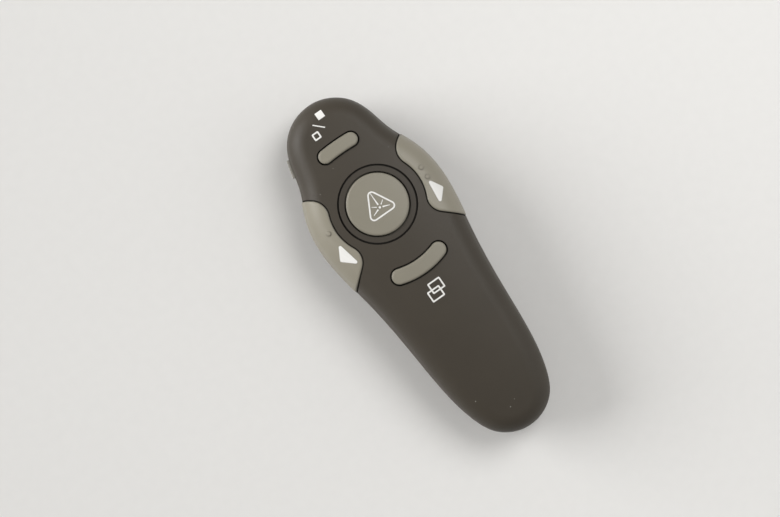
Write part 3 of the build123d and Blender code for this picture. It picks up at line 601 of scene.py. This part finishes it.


# Worn edges: how much lighter and smoother. Gaps: how dark their painted shade is. Dust: its colour and how well it
# covers.
WORN_SHADE = 1.8
WORN_POLISH = 0.3
PAINTED_GAP_SHADE = 0.05
DUST_COLOUR = (0.5, 0.48, 0.44)
DUST_COVER = 0.5
# Depth of the lines of a drawn metal and of the tracks under the solder mask.
METAL_LINE_DEPTH = 0.000002
TRACK_DEPTH = 0.00003


def plastic(name, rgb, rough, grain, depth, drift=0.05, dust=0.0, edge=0.00012, wear=0.15, **plain):
    """Moulded plastic: drifting colour, grain, polished edges, matt gaps darkened by painted shade, and a little
    dust.
    """
    finish = Finish(name)
    tree = finish.tree
    finish.set(**plain)
    edges = finish.effect("Rounded Edge", Radius=edge)
    texture = finish.effect("Moulded Grain", Spacing=grain)
    base = finish.effect("Colour Drift", Color=opaque(rgb), Amount=drift)["Color"]
    # Mask of the painted gap shade: one in the open, nothing deep in a gap.
    unshaded_mask = finish.effect("Painted Gap Shade", Normal=edges["Normal"])["Mask"]
    worn = maths(tree, "MULTIPLY", maths(tree, "MULTIPLY", edges["Mask"], wear), unshaded_mask)
    base = mixed(tree, worn, base, scaled(rgb, WORN_SHADE))
    if dust:
        specks = finish.effect("Dust Specks", Amount=dust)["Mask"]
        base = mixed(tree, maths(tree, "MULTIPLY", specks, DUST_COVER), base, opaque(DUST_COLOUR))
    # Painted shade: the base colour falls to near black deep in gaps.
    finish.feed("Base Color", mixed(tree, unshaded_mask, scaled(rgb, PAINTED_GAP_SHADE), base))
    polished = maths(tree, "SUBTRACT", finish.between(texture["Shade"], *rough),
                     maths(tree, "MULTIPLY", worn, WORN_POLISH))
    finish.feed("Roughness", finish.between(unshaded_mask, 1.0, polished))
    finish.relief(texture["Height"], depth, edges["Normal"])


def metal(name, rgb, rough, spacing):
    """Drawn or plated metal with fine lines."""
    finish = Finish(name)
    finish.set(Metallic=1.0)
    lines = finish.effect("Drawn Metal", Spacing=spacing)
    finish.drift(opaque(rgb), amount=0.08, spacing=0.004)
    finish.feed("Roughness", finish.between(lines["Shade"], *rough))
    finish.relief(lines["Height"], METAL_LINE_DEPTH)


def board_finish(name, mask, track):
    """Solder mask over copper tracks."""
    finish = Finish(name)
    finish.set(Coat_Weight=0.3, Coat_Roughness=0.15)
    lines = finish.effect("Board Tracks")["Mask"]
    finish.drift(mixed(finish.tree, lines, opaque(mask), opaque(track)), amount=0.12)
    finish.feed("Roughness", finish.between(lines, low=0.30, high=0.38))
    finish.relief(lines, TRACK_DEPTH)


def clear_finish(name, rgb, rough, grain, drift, spacing, **plain):
    """Clear moulding with a tint and a faint haze; gives back the finish and its grain."""
    finish = Finish(name)
    finish.set(**plain)
    finish.drift(opaque(rgb), drift, spacing)
    haze = finish.effect("Moulded Grain", Spacing=grain)
    finish.feed("Roughness", finish.between(haze["Shade"], *rough))
    return finish, haze


def dress(material, *nodes):
    """Give packed nodes their finish."""
    for node in nodes:
        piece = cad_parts[node]
        piece.data.materials.clear()
        piece.data.materials.append(bpy.data.materials[material])


class CLICKER_OT_effects(bpy.types.Operator):
    """Make the shared shader effects"""
    bl_idname = "clicker.effects"
    bl_label = "Shader Effects"

    def execute(self, context):
        for effect in (grain_effect, drift_effect, edge_effect, dust_effect, painted_gap_shade_effect, drawn_effect, track_effect):
            effect()
        return {"FINISHED"}


class CLICKER_OT_finish_plastics(bpy.types.Operator):
    """Finish the shells, the door, the keys, the ring and the slider"""
    bl_idname = "clicker.finish_plastics"
    bl_label = "Shells and Keys"

    def execute(self, context):
        colours = context.scene.clicker_colours
        surface = context.scene.clicker_surface
        grain = surface.grain
        depth = surface.grain_depth
        # The pair of numbers in each call is the roughness, from and to.
        plastic("Soft Touch", colours.shell, (0.48, 0.62), grain, depth, drift=0.10, dust=surface.dust,
                edge=surface.edge, wear=surface.wear, Specular_IOR_Level=0.38)
        # Side Key Plastic is a lighter copy of the key plastic: painted light for the keys on the flanks.
        for name, rgb in (("Key Plastic", colours.key), ("Side Key Plastic Painted Lighter", colours.side_key)):
            plastic(name, rgb, (0.42, 0.55), grain, depth / 2, edge=surface.key_edge, wear=surface.wear / 3)
        plastic("Ring Plastic", colours.ring, (0.52, 0.64), grain, depth / 2, edge=surface.edge,
                wear=surface.wear, Specular_IOR_Level=0.30)
        plastic("Slider Plastic", colours.slider, (0.40, 0.52), grain, depth / 3, wear=0.1)
        plastic("Ink", colours.ink, (0.50, 0.62), grain / 2, depth / 4, drift=0.04, wear=0.0)
        dress("Soft Touch", "top_shell", "bottom_shell", "battery_door")
        dress("Key Plastic", "laser_button", "blank_screen_button", "window_switch_button")
        dress("Side Key Plastic Painted Lighter", "previous_button", "next_button")
        dress("Ring Plastic", "laser_button_bezel", "nose_bezel")
        dress("Slider Plastic", "power_switch_knob")
        return {"FINISHED"}


SOLDER_MASK = (0.010, 0.085, 0.030)
COPPER_TRACK = (0.035, 0.19, 0.075)
WINDOW_TINT = (0.55, 0.10, 0.08)

# Name, colour, roughness from and to, grain, grain depth, drift of the colour and wear.
SMALL_PLASTICS = (
    ("Moulded Epoxy", (0.012, 0.012, 0.013), (0.42, 0.55), 0.0002, 0.000006, 0.05, 0.1),
    ("Switch Black", (0.02, 0.02, 0.021), (0.35, 0.45), 0.0002, 0.000004, 0.05, 0.1),
    ("Plunger Ivory", (0.60, 0.56, 0.47), (0.35, 0.45), 0.0003, 0.000003, 0.05, 0.0),
    ("Ceramic", (0.22, 0.16, 0.10), (0.45, 0.60), 0.0001, 0.000003, 0.3, 0.0),
    ("Lead Cover", (0.42, 0.02, 0.015), (0.40, 0.50), 0.0003, 0.000003, 0.05, 0.0),
)

# Name, colour, roughness from and to, and distance between the drawn lines.
METALS = (
    ("Can Steel", (0.60, 0.60, 0.60), (0.25, 0.38), 0.0001),
    ("Turned Brass", (0.72, 0.50, 0.20), (0.22, 0.34), 0.00008),
    ("Nickel Plate", (0.70, 0.67, 0.62), (0.18, 0.30), 0.0001),
    ("Spring Wire", (0.62, 0.61, 0.59), (0.25, 0.40), 0.00005),
    ("Screw Steel", (0.10, 0.10, 0.105), (0.30, 0.45), 0.0001),
    ("Gold Plate", (0.85, 0.62, 0.25), (0.18, 0.28), 0.0001),
)

ELECTRONICS = {
    "Solder Mask": ("main_pcb", "laser_driver_board", "receiver_board"),
    "Can Steel": ("power_switch_body", "crystal_can", "laser_diode"),
    "Nickel Plate": ("positive_contact", "negative_contact", "bridge_contact", "receiver_plug_shell"),
    "Screw Steel": ("shell_screws", "board_screws"),
    "Moulded Epoxy": ("radio_chip",),
    "Ceramic": ("passive_components",),
    "Turned Brass": ("laser_barrel",),
    "Lead Cover": ("laser_leads",),
    "Spring Wire": ("battery_springs",),
    "Gold Plate": ("receiver_contacts",),
    "Switch Black": [key + "_tact_switch" for key in KEYS],
    "Plunger Ivory": [key + "_tact_plunger" for key in KEYS],
    "Coated Lens": ("laser_lens", "laser_window"),
}


class CLICKER_OT_finish_electronics(bpy.types.Operator):
    """Finish the boards, the switches, the laser and the contacts"""
    bl_idname = "clicker.finish_electronics"
    bl_label = "Electronics"

    def execute(self, context):
        board_finish("Solder Mask", SOLDER_MASK, COPPER_TRACK)
        for name, rgb, rough, grain, depth, drift, wear in SMALL_PLASTICS:
            plastic(name, rgb, rough, grain, depth, drift=drift, wear=wear)
        for name, rgb, rough, spacing in METALS:
            metal(name, rgb, rough, spacing)
        clear_finish("Coated Lens", WINDOW_TINT, rough=(0.03, 0.09), grain=0.0012, drift=0.15, spacing=0.002,
                     IOR=1.5, Transmission_Weight=1.0)
        for material, nodes in ELECTRONICS.items():
            dress(material, *nodes)
        return {"FINISHED"}


# ---- Receiver and cells -------------------------------------------------------------------------------
RECEIVER_RIBS = 5
RECEIVER_RIB_START = 0.0036
RECEIVER_RIB_PITCH = 0.0011
RECEIVER_RIB_HALF = 0.0042
RECEIVER_RIB_RISE = 0.00015
RECEIVER_RIB_ROOT = 0.0002
RECEIVER_RIB_EDGE = 0.8 * RECEIVER_RIB_RISE
RECEIVER_LIGHT_SET_BACK = 0.0035
RECEIVER_LIGHT_RADIUS = 0.0008
RECEIVER_LIGHT_RISE = 0.00006
RECEIVER_LIGHT_TINT = (0.75, 0.78, 0.76)
RECEIVER_LIGHT_GRAIN_DEPTH = 0.000003
TONGUE_COLOUR = (0.75, 0.74, 0.70)
# Height of a cell's nub, thickness of its sleeve, reach of the sleeve over the ends, and its edges and bands.
CELL_NUB = 0.0008
CELL_SLEEVE = 0.00006
CELL_LIP = 0.0008
CELL_EDGE = 0.0003
CELL_BAND = 0.011
CELL_LINE = (1.15 * CELL_BAND, 1.22 * CELL_BAND)
CELL_MARK = 0.0030
CELL_MARK_SET_BACK = 0.0060
JACKET_GRAIN = 0.0006
JACKET_GRAIN_DEPTH = 0.000003


def banded(tree, bands):
    """Mask that is one between each pair of places along the piece's Y."""
    split = tree.nodes.new("ShaderNodeSeparateXYZ")
    tree.links.new(place(tree), split.inputs[0])
    level = split.outputs["Y"]
    mask, *others = [maths(tree, "MULTIPLY", maths(tree, "GREATER_THAN", level, low),
                           maths(tree, "LESS_THAN", level, high)) for low, high in bands]
    for other in others:
        mask = maths(tree, "ADD", mask, other)
    return mask


def jacket_finish(name, sleeve, stripe, bands):
    """Glossy printed sleeve with bands across it."""
    finish = Finish(name)
    finish.set(Coat_Weight=0.6, Coat_Roughness=0.10)
    printed = mixed(finish.tree, banded(finish.tree, bands), opaque(sleeve), opaque(stripe))
    finish.drift(printed, amount=0.06, spacing=0.006)
    texture = finish.effect("Moulded Grain", Spacing=JACKET_GRAIN)
    finish.feed("Roughness", finish.between(texture["Shade"], low=0.22, high=0.34))
    finish.relief(texture["Height"], JACKET_GRAIN_DEPTH)


def sleeve_profile(radius, back, front):
    """Radius and Y of the corners of a cell's sleeve, shrunk over the rims at both ends."""
    over = CELL_SLEEVE / 4
    return [(radius - CELL_LIP, back - CELL_SLEEVE), (radius - CELL_EDGE, back - CELL_SLEEVE),
            (radius + over, back + CELL_EDGE / 3), (radius + CELL_SLEEVE, back + CELL_EDGE),
            (radius + CELL_SLEEVE, front - CELL_EDGE), (radius + over, front - CELL_EDGE / 3),
            (radius - CELL_EDGE, front + CELL_SLEEVE), (radius - CELL_LIP, front + CELL_SLEEVE),
            (radius - CELL_LIP, front - CELL_EDGE), (radius - CELL_SLEEVE, front - 2 * CELL_EDGE),
            (radius - CELL_SLEEVE, back + 2 * CELL_EDGE), (radius - CELL_LIP, back + CELL_EDGE)]


class CLICKER_OT_finish_receiver(bpy.types.Operator):
    """Finish the receiver and add its grip ribs and its status light"""
    bl_idname = "clicker.finish_receiver"
    bl_label = "Receiver"

    def execute(self, context):
        colours = context.scene.clicker_colours
        plastic("Receiver Black", colours.receiver, rough=(0.30, 0.42), grain=0.0003, depth=0.000005, wear=0.2)
        plastic("Tongue White", TONGUE_COLOUR, rough=(0.38, 0.48), grain=0.0003, depth=0.000003, wear=0.0)
        dress("Receiver Black", "receiver_housing")
        dress("Tongue White", "receiver_tongue")
        low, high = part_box("receiver_housing")
        ribs = []
        for index in range(RECEIVER_RIBS):
            y = low.y + RECEIVER_RIB_START + index * RECEIVER_RIB_PITCH
            rib_low = Vector((-RECEIVER_RIB_HALF, y, low.z - RECEIVER_RIB_RISE))
            rib_high = Vector((RECEIVER_RIB_HALF, y + RECEIVER_RIB_PITCH / 2, low.z + RECEIVER_RIB_ROOT))
            ribs.append(soft_block(rib_low, rib_high, RECEIVER_RIB_EDGE))
        smooth(new_piece("receiver_grip_ribs", *together(*ribs), "receiver", "receiver_black", "Receiver Black"))
        lens, grain = clear_finish("Light Lens", RECEIVER_LIGHT_TINT, rough=(0.15, 0.22), grain=0.0002, drift=0.06,
                                   spacing=0.001, IOR=1.49, Transmission_Weight=0.6)
        lens.relief(grain["Height"], RECEIVER_LIGHT_GRAIN_DEPTH)
        disc = filled(circle(Vector((0, high.y - RECEIVER_LIGHT_SET_BACK)), RECEIVER_LIGHT_RADIUS), 3)
        print_on("receiver_light", mesh_of("receiver_housing"), disc, RECEIVER_LIGHT_RISE, "receiver", "clear_lens",
                 "Light Lens", towards=UP)
        return {"FINISHED"}


class CLICKER_OT_finish_cells(bpy.types.Operator):
    """Wrap both cells in printed sleeves with bare metal ends"""
    bl_idname = "clicker.finish_cells"
    bl_label = "Cells"

    def execute(self, context):
        colours = context.scene.clicker_colours
        sizes = context.scene.clicker_prints
        for side, nub_ahead in (("left", True), ("right", False)):
            node = "battery_cell_" + side
            dress("Nickel Plate", node)
            low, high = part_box(node)
            back = low.y + (0 if nub_ahead else CELL_NUB)
            front = high.y - (CELL_NUB if nub_ahead else 0)
            end, far_end, inwards = (front, back, -1) if nub_ahead else (back, front, 1)
            bands = [sorted(end + inwards * reach for reach in pair) for pair in ((0, CELL_BAND), CELL_LINE)]
            jacket_finish("Cell Jacket " + side, colours.jacket, colours.jacket_band, bands)
            profile = sleeve_profile((high.x - low.x) / 2, back, front)
            sleeve = new_piece(node + "_sleeve", *lathe(profile, middle_of(node)), "root", "cell_jacket",
                               "Cell Jacket " + side)
            smooth(sleeve)
            x = (low.x + high.x) / 2
            plus = filled(cross(Vector((x, end + inwards * CELL_MARK_SET_BACK)), CELL_MARK, sizes.stroke), 2)
            print_on(node + "_plus", sleeve.data, plus, sizes.film, "root", towards=UP)
            dash = rectangle(Vector((x, far_end - inwards * CELL_MARK_SET_BACK / 2)), CELL_MARK, sizes.stroke)
            minus = filled(rounded(dash, sizes.stroke / 4), 2)
            print_on(node + "_minus", sleeve.data, minus, sizes.film, "root", towards=UP)
        return {"FINISHED"}


# ---- Parts of the electronics -------------------------------------------------------------------------
SIDES = (-1, 1)
SWITCH_COVER = 0.00012
SWITCH_CORNER_SHARE = 1 / 12
SWITCH_RIVET_PLACE_SHARE = 0.36
SWITCH_RIVET_SHARE = 1 / 16
SWITCH_LEG_WIDTH = 0.0007
SWITCH_LEG = 0.0002
SWITCH_FOOT = 0.0006
CHIP_PADS = 8
CHIP_PAD_PITCH = 0.0005
CHIP_PAD_WIDTH = 0.00024
CHIP_PAD_REACH = 0.0003
CHIP_PART_ROWS = (0.0065, 0.0090)
CHIP_PART_PITCH = 0.0024
CHIP_PART_COUNT = 4
CHIP_PART_LENGTH = 0.0016
CHIP_PART_WIDTH = 0.0008
CHIP_PART_CAP = 0.0003
SOLDER = 0.00003


def plate(flat, faces, level, rise):
    """Points and faces of a flat plate that lies on a level and stands up from it."""
    sheet = [Vector((point.x, point.y, level)) for point in flat]
    return closed_skin(sheet, [UP] * len(sheet), faces, rise, SWITCH_COVER)


def leg(edge_x, across, reach, middle_y, low_z, high_z):
    """Points and faces of one run of a switch leg, from the edge of the switch outwards."""
    half = SWITCH_LEG_WIDTH / 2
    near_x, far_x = sorted((edge_x, edge_x + across * reach))
    return soft_block(Vector((near_x, middle_y - half, low_z)), Vector((far_x, middle_y + half, high_z)),
                      SWITCH_LEG / 5)


def switch_metal(key):
    """Steel cover plate of a key switch, with its rivets and its legs down to the board."""
    low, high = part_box(key + "_tact_switch")
    plunger_low, plunger_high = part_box(key + "_tact_plunger")
    centre = (low + high) / 2
    size = high.x - low.x
    hole = (plunger_high.x - plunger_low.x) / 2 + 3 * SWITCH_COVER
    side = size - SWITCH_COVER
    outer = rounded(rectangle(centre.xy, side, side), size * SWITCH_CORNER_SHARE)
    inner = [centre.xy + (point - centre.xy).normalized() * hole for point in outer]
    parts = [plate(*band(outer, inner), high.z, SWITCH_COVER)]
    for across in SIDES:
        for along in SIDES:
            edge_x = centre.x + across * size / 2
            middle_y = centre.y + along * size / 4
            parts.append(leg(edge_x, across, SWITCH_LEG, middle_y, low.z, centre.z))
            parts.append(leg(edge_x, across, SWITCH_FOOT, middle_y, low.z, low.z + SWITCH_LEG))
            corner = centre.xy + Vector((across, along)) * size * SWITCH_RIVET_PLACE_SHARE
            rivet = filled(circle(corner, size * SWITCH_RIVET_SHARE, 12), 2)
            parts.append(plate(*rivet, high.z, 2 * SWITCH_COVER))
    return together(*parts)


def chip_solder():
    """Solder at the pads round the radio chip."""
    low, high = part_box("radio_chip")
    centre = (low + high) / 2
    half = (high.x - low.x) / 2
    pads = []
    for index in range(CHIP_PADS):
        offset = (index - (CHIP_PADS - 1) / 2) * CHIP_PAD_PITCH
        for side in SIDES:
            for way, over in ((Vector((1, 0, 0)), Vector((0, 1, 0))), (Vector((0, 1, 0)), Vector((1, 0, 0)))):
                middle = centre + over * offset + way * side * half
                middle.z = low.z
                reach = way * CHIP_PAD_REACH + over * CHIP_PAD_WIDTH / 2
                pads.append(soft_block(middle - reach, middle + reach + UP * CHIP_PAD_WIDTH, SOLDER))
    return together(*pads)


def chip_part_caps():
    """Metal ends of the small parts on the main board."""
    base_z, top_z = (corner.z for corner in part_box("passive_components"))
    half = CHIP_PART_WIDTH / 2 + SOLDER
    caps = []
    for y in CHIP_PART_ROWS:
        for index in range(CHIP_PART_COUNT):
            x = (index - (CHIP_PART_COUNT - 1) / 2) * CHIP_PART_PITCH
            for side in SIDES:
                low_y, high_y = sorted((y + side * (CHIP_PART_LENGTH / 2 - CHIP_PART_CAP),
                                        y + side * (CHIP_PART_LENGTH / 2 + SOLDER)))
                caps.append(soft_block(Vector((x - half, low_y, base_z)),
                                       Vector((x + half, high_y, top_z + SOLDER)), SOLDER / 2))
    return together(*caps)


class CLICKER_OT_electronic_details(bpy.types.Operator):
    """Add the switch covers, the solder of the radio chip and the end caps of the chip parts"""
    bl_idname = "clicker.electronic_details"
    bl_label = "Electronic Details"

    def execute(self, context):
        for key in KEYS:
            new_piece(key + "_switch_cover", *switch_metal(key), "root", "steel", "Can Steel")
        new_piece("radio_chip_solder", *chip_solder(), "root", "steel", "Can Steel")
        new_piece("chip_part_caps", *chip_part_caps(), "root", "steel", "Can Steel")
        return {"FINISHED"}


# ---- Printed marks ------------------------------------------------------------------------------------
LASER_MARK_BASE_Y = 0.01855
LASER_MARK_SPREAD = 0.00045
LASER_MARK_ROUND = 0.0011
BURST_CENTRE = Vector((0.0, 0.0208))
BURST_DOT_SHARE = 0.75
WINDOW_BACK_CENTRE = Vector((0.0004, -0.00784))
WINDOW_FRONT_CENTRE = Vector((-0.0011, -0.00986))
SOLID_SQUARE_CENTRE = Vector((0.00124, 0.0539))
SLASH_ENDS = (Vector((-0.0023, 0.0526)), Vector((0.0004, 0.0499)))
SLASH_SHARE = 0.75
HOLLOW_SQUARE_CENTRE = Vector((-0.00317, 0.0492))
NEXT_ARROW = (Vector((0.01636, 0.01986)), Vector((0.01541, 0.01095)), Vector((0.01920, 0.01509)))
PREVIOUS_ARROW = (Vector((-0.01901, 0.01435)), Vector((-0.01443, 0.01027)), Vector((-0.01631, 0.01926)))
DOOR_ARROW = (Vector((-0.0042, -0.0270)), Vector((0.0, -0.0345)), Vector((0.0042, -0.0270)))
WINDOW_FRONT_RISE = 1.3

# Bearing in degrees, near end, far end, width at the near end and width at the far end.
BURST_RAYS = (
    (90, 0.0009, 0.0052, 0.00050, 0.00022),
    (35, 0.0009, 0.0025, 0.00034, 0.00020),
    (145, 0.0009, 0.0025, 0.00034, 0.00020),
    (-20, 0.0008, 0.0031, 0.00052, 0.00020),
    (-160, 0.0008, 0.0031, 0.00052, 0.00020),
)


class CLICKER_OT_print_laser_mark(bpy.types.Operator):
    """Print the triangle and the burst on the laser key"""
    bl_idname = "clicker.print_laser_mark"
    bl_label = "Laser Mark"

    def execute(self, context):
        sizes = context.scene.clicker_prints
        half = sizes.laser_width / 2
        low = LASER_MARK_BASE_Y
        corners = [Vector((-half, low)), Vector((half, low)), Vector((0, low + sizes.laser_height))]
        line = grown(corners, LASER_MARK_SPREAD - sizes.stroke / 2)
        triangle = stroke_frame(line, LASER_MARK_ROUND, sizes.stroke)
        print_on("laser_mark_triangle", mesh_of("laser_button"), triangle, sizes.film, "laser_key")
        rays = [filled(circle(BURST_CENTRE, sizes.stroke * BURST_DOT_SHARE), 2)]
        for bearing, near, far, near_width, far_width in BURST_RAYS:
            way = turned(Vector((1, 0)), radians(bearing))
            rays.append(ray(BURST_CENTRE + way * near, BURST_CENTRE + way * far, near_width, far_width))
        print_on("laser_mark_burst", mesh_of("laser_button"), together(*rays), sizes.film, "laser_key")
        return {"FINISHED"}


class CLICKER_OT_print_shell_marks(bpy.types.Operator):
    """Print the screen and window marks on the shell"""
    bl_idname = "clicker.print_shell_marks"
    bl_label = "Shell Marks"

    def execute(self, context):
        sizes = context.scene.clicker_prints
        side = sizes.square
        stroke = sizes.stroke
        film = sizes.film
        hollow = rectangle(HOLLOW_SQUARE_CENTRE, side - stroke, side - stroke)
        back, front = (rectangle(centre, sizes.window_width, sizes.window_height)
                       for centre in (WINDOW_BACK_CENTRE, WINDOW_FRONT_CENTRE))
        for name, pattern, height in (
                ("screen_mark_solid", filled(rounded(rectangle(SOLID_SQUARE_CENTRE, side, side), side / 20)), film),
                ("screen_mark_slash", ray(*SLASH_ENDS, stroke * SLASH_SHARE, stroke * SLASH_SHARE), film),
                ("screen_mark_hollow", stroke_frame(hollow, stroke / 4, stroke), film),
                ("window_mark_back", stroke_frame(back, stroke / 4, stroke), film),
                ("window_mark_front", stroke_frame(front, stroke / 4, stroke), film * WINDOW_FRONT_RISE)):
            print_on(name, mesh_of("top_shell"), pattern, height, "root")
        return {"FINISHED"}


class CLICKER_OT_print_arrows(bpy.types.Operator):
    """Print the arrows on the side keys"""
    bl_idname = "clicker.print_arrows"
    bl_label = "Side Key Arrows"

    def execute(self, context):
        sizes = context.scene.clicker_prints
        for key, corners in (("next", NEXT_ARROW), ("previous", PREVIOUS_ARROW)):
            arrow = filled(rounded(corners, sizes.arrow_round))
            print_on(key + "_arrow", mesh_of(key + "_button"), arrow, sizes.film, key + "_key")
        return {"FINISHED"}


class CLICKER_OT_print_door_mark(bpy.types.Operator):
    """Mark the way the battery door slides"""
    bl_idname = "clicker.print_door_mark"
    bl_label = "Door Mark"

    def execute(self, context):
        sizes = context.scene.clicker_prints
        arrow = stroke_frame(DOOR_ARROW, sizes.arrow_round, sizes.stroke)
        print_on("door_arrow", mesh_of("battery_door"), arrow, sizes.film, "door", "key", "Key Plastic", towards=UP)
        return {"FINISHED"}


# ---- Stage --------------------------------------------------------------------------------------------
CAMERA_PLACE = Vector((-0.0149, -0.0016, 0.6795))
CAMERA_TARGET = Vector((-0.0061, 0.0068, 0.0105))
CAMERA_UP = Vector((0.5749, 0.8182, 0.0))
CAMERA_NEAR = 0.01
FLOOR_CORNERS = ((-3, -3, 0), (3, -3, 0), (3, 3, 0), (-3, 3, 0))
FLOOR_SHADE = 0.985
FLOOR_WAVES = 300.0
LIGHT_UP = Vector((0, 1, 0.01))
KEY_LAMP_PLACE = Vector((0.44, 0.12, 0.74))
KEY_LAMP_WIDTH = 0.5
FILL_LIGHT_PLACE = Vector((-0.55, 0.53, 0.28))
FILL_LIGHT_SPREAD = radians(45)
SIDE_LIGHT_PLACE = Vector((0.60, -0.40, 0.25))
SIDE_LIGHT_SPREAD = radians(60)
DAYLIGHT_COLOUR = (1.0, 0.99, 0.97)


def aim(thing, origin, target, up):
    """Put a camera or lamp at a place and turn it to a target."""
    back = (origin - target).normalized()
    right = up.cross(back).normalized()
    turn = Matrix((right, back.cross(right), back)).transposed()
    thing.matrix_world = Matrix.Translation(origin) @ turn.to_4x4()


def new_light(name, kind, strength, origin):
    """Light that points at the clicker; gives back its settings."""
    data = bpy.data.lights.new(name, kind)
    data.energy = strength
    thing = bpy.data.objects.new(name, data)
    bpy.context.scene.collection.objects.link(thing)
    aim(thing, origin, CAMERA_TARGET, LIGHT_UP)
    return data


class CLICKER_OT_stage(bpy.types.Operator):
    """Build the floor, the lamps and the camera"""
    bl_idname = "clicker.stage"
    bl_label = "Stage"

    def execute(self, context):
        scene = context.scene
        setup = scene.clicker_stage
        mesh = bpy.data.meshes.new("floor")
        mesh.from_pydata(FLOOR_CORNERS, [], [(0, 1, 2, 3)])
        floor = bpy.data.objects.new("floor", mesh)
        scene.collection.objects.link(floor)
        paper = Finish("Pale Floor")
        paper.set(Roughness=0.8)
        cloud = stretch(paper.tree, noise(paper.tree, FLOOR_WAVES), *WIDE_SPAN)
        paper.feed("Base Color", mixed(paper.tree, cloud, opaque(setup.floor), scaled(setup.floor, FLOOR_SHADE)))
        mesh.materials.append(paper.material)
        key_lamp = new_light("key_lamp", "AREA", setup.key_lamp, KEY_LAMP_PLACE)
        key_lamp.shape = "DISK"
        key_lamp.size = KEY_LAMP_WIDTH
        new_light("fill_light", "SUN", setup.fill_light, FILL_LIGHT_PLACE).angle = FILL_LIGHT_SPREAD
        new_light("side_light", "SUN", setup.side_light, SIDE_LIGHT_PLACE).angle = SIDE_LIGHT_SPREAD
        world = bpy.data.worlds.new("Soft Daylight")
        world.use_nodes = True
        background = world.node_tree.nodes["Background"]
        background.inputs["Color"].default_value = opaque(DAYLIGHT_COLOUR)
        background.inputs["Strength"].default_value = setup.daylight
        scene.world = world
        camera_data = bpy.data.cameras.new("camera")
        camera_data.lens = setup.lens
        camera_data.clip_start = CAMERA_NEAR
        camera = bpy.data.objects.new("camera", camera_data)
        scene.collection.objects.link(camera)
        aim(camera, CAMERA_PLACE, CAMERA_TARGET, CAMERA_UP)
        scene.camera = camera
        scene.view_settings.view_transform = "Standard"
        return {"FINISHED"}


# ---- Panel and registration ---------------------------------------------------------------------------
STEPS = (CLICKER_OT_effects, CLICKER_OT_finish_plastics, CLICKER_OT_finish_electronics,
         CLICKER_OT_electronic_details, CLICKER_OT_finish_cells, CLICKER_OT_finish_receiver,
         CLICKER_OT_print_laser_mark, CLICKER_OT_print_shell_marks, CLICKER_OT_print_arrows,
         CLICKER_OT_print_door_mark, CLICKER_OT_stage)
GROUPS = {"clicker_colours": ClickerColours, "clicker_surface": ClickerSurface, "clicker_prints": ClickerPrints,
          "clicker_stage": ClickerStage}


class CLICKER_PT_panel(bpy.types.Panel):
    """Steps and sizes of the clicker"""
    bl_idname = "CLICKER_PT_panel"
    bl_label = "Clicker"
    bl_space_type = "VIEW_3D"
    bl_region_type = "UI"
    bl_category = "Clicker"

    def draw(self, context):
        layout = self.layout
        for step in STEPS:
            layout.operator(step.bl_idname)
        for name, group in GROUPS.items():
            box = layout.box()
            box.label(text=group.__doc__)
            for label in group.__annotations__:
                box.prop(getattr(context.scene, name), label)


def register():
    """Make the classes known to Blender."""
    for known in (*GROUPS.values(), *STEPS, CLICKER_PT_panel):
        bpy.utils.register_class(known)
    for name, group in GROUPS.items():
        setattr(bpy.types.Scene, name, PointerProperty(type=group))


def unregister():
    """Take the classes away again."""
    for name in GROUPS:
        delattr(bpy.types.Scene, name)
    for known in reversed((*GROUPS.values(), *STEPS, CLICKER_PT_panel)):
        bpy.utils.unregister_class(known)


def main():
    """Run every step in order."""
    register()
    for step in STEPS:
        group, _, name = step.bl_idname.partition(".")
        getattr(getattr(bpy.ops, group), name)()


if __name__ == "__main__":
    main()
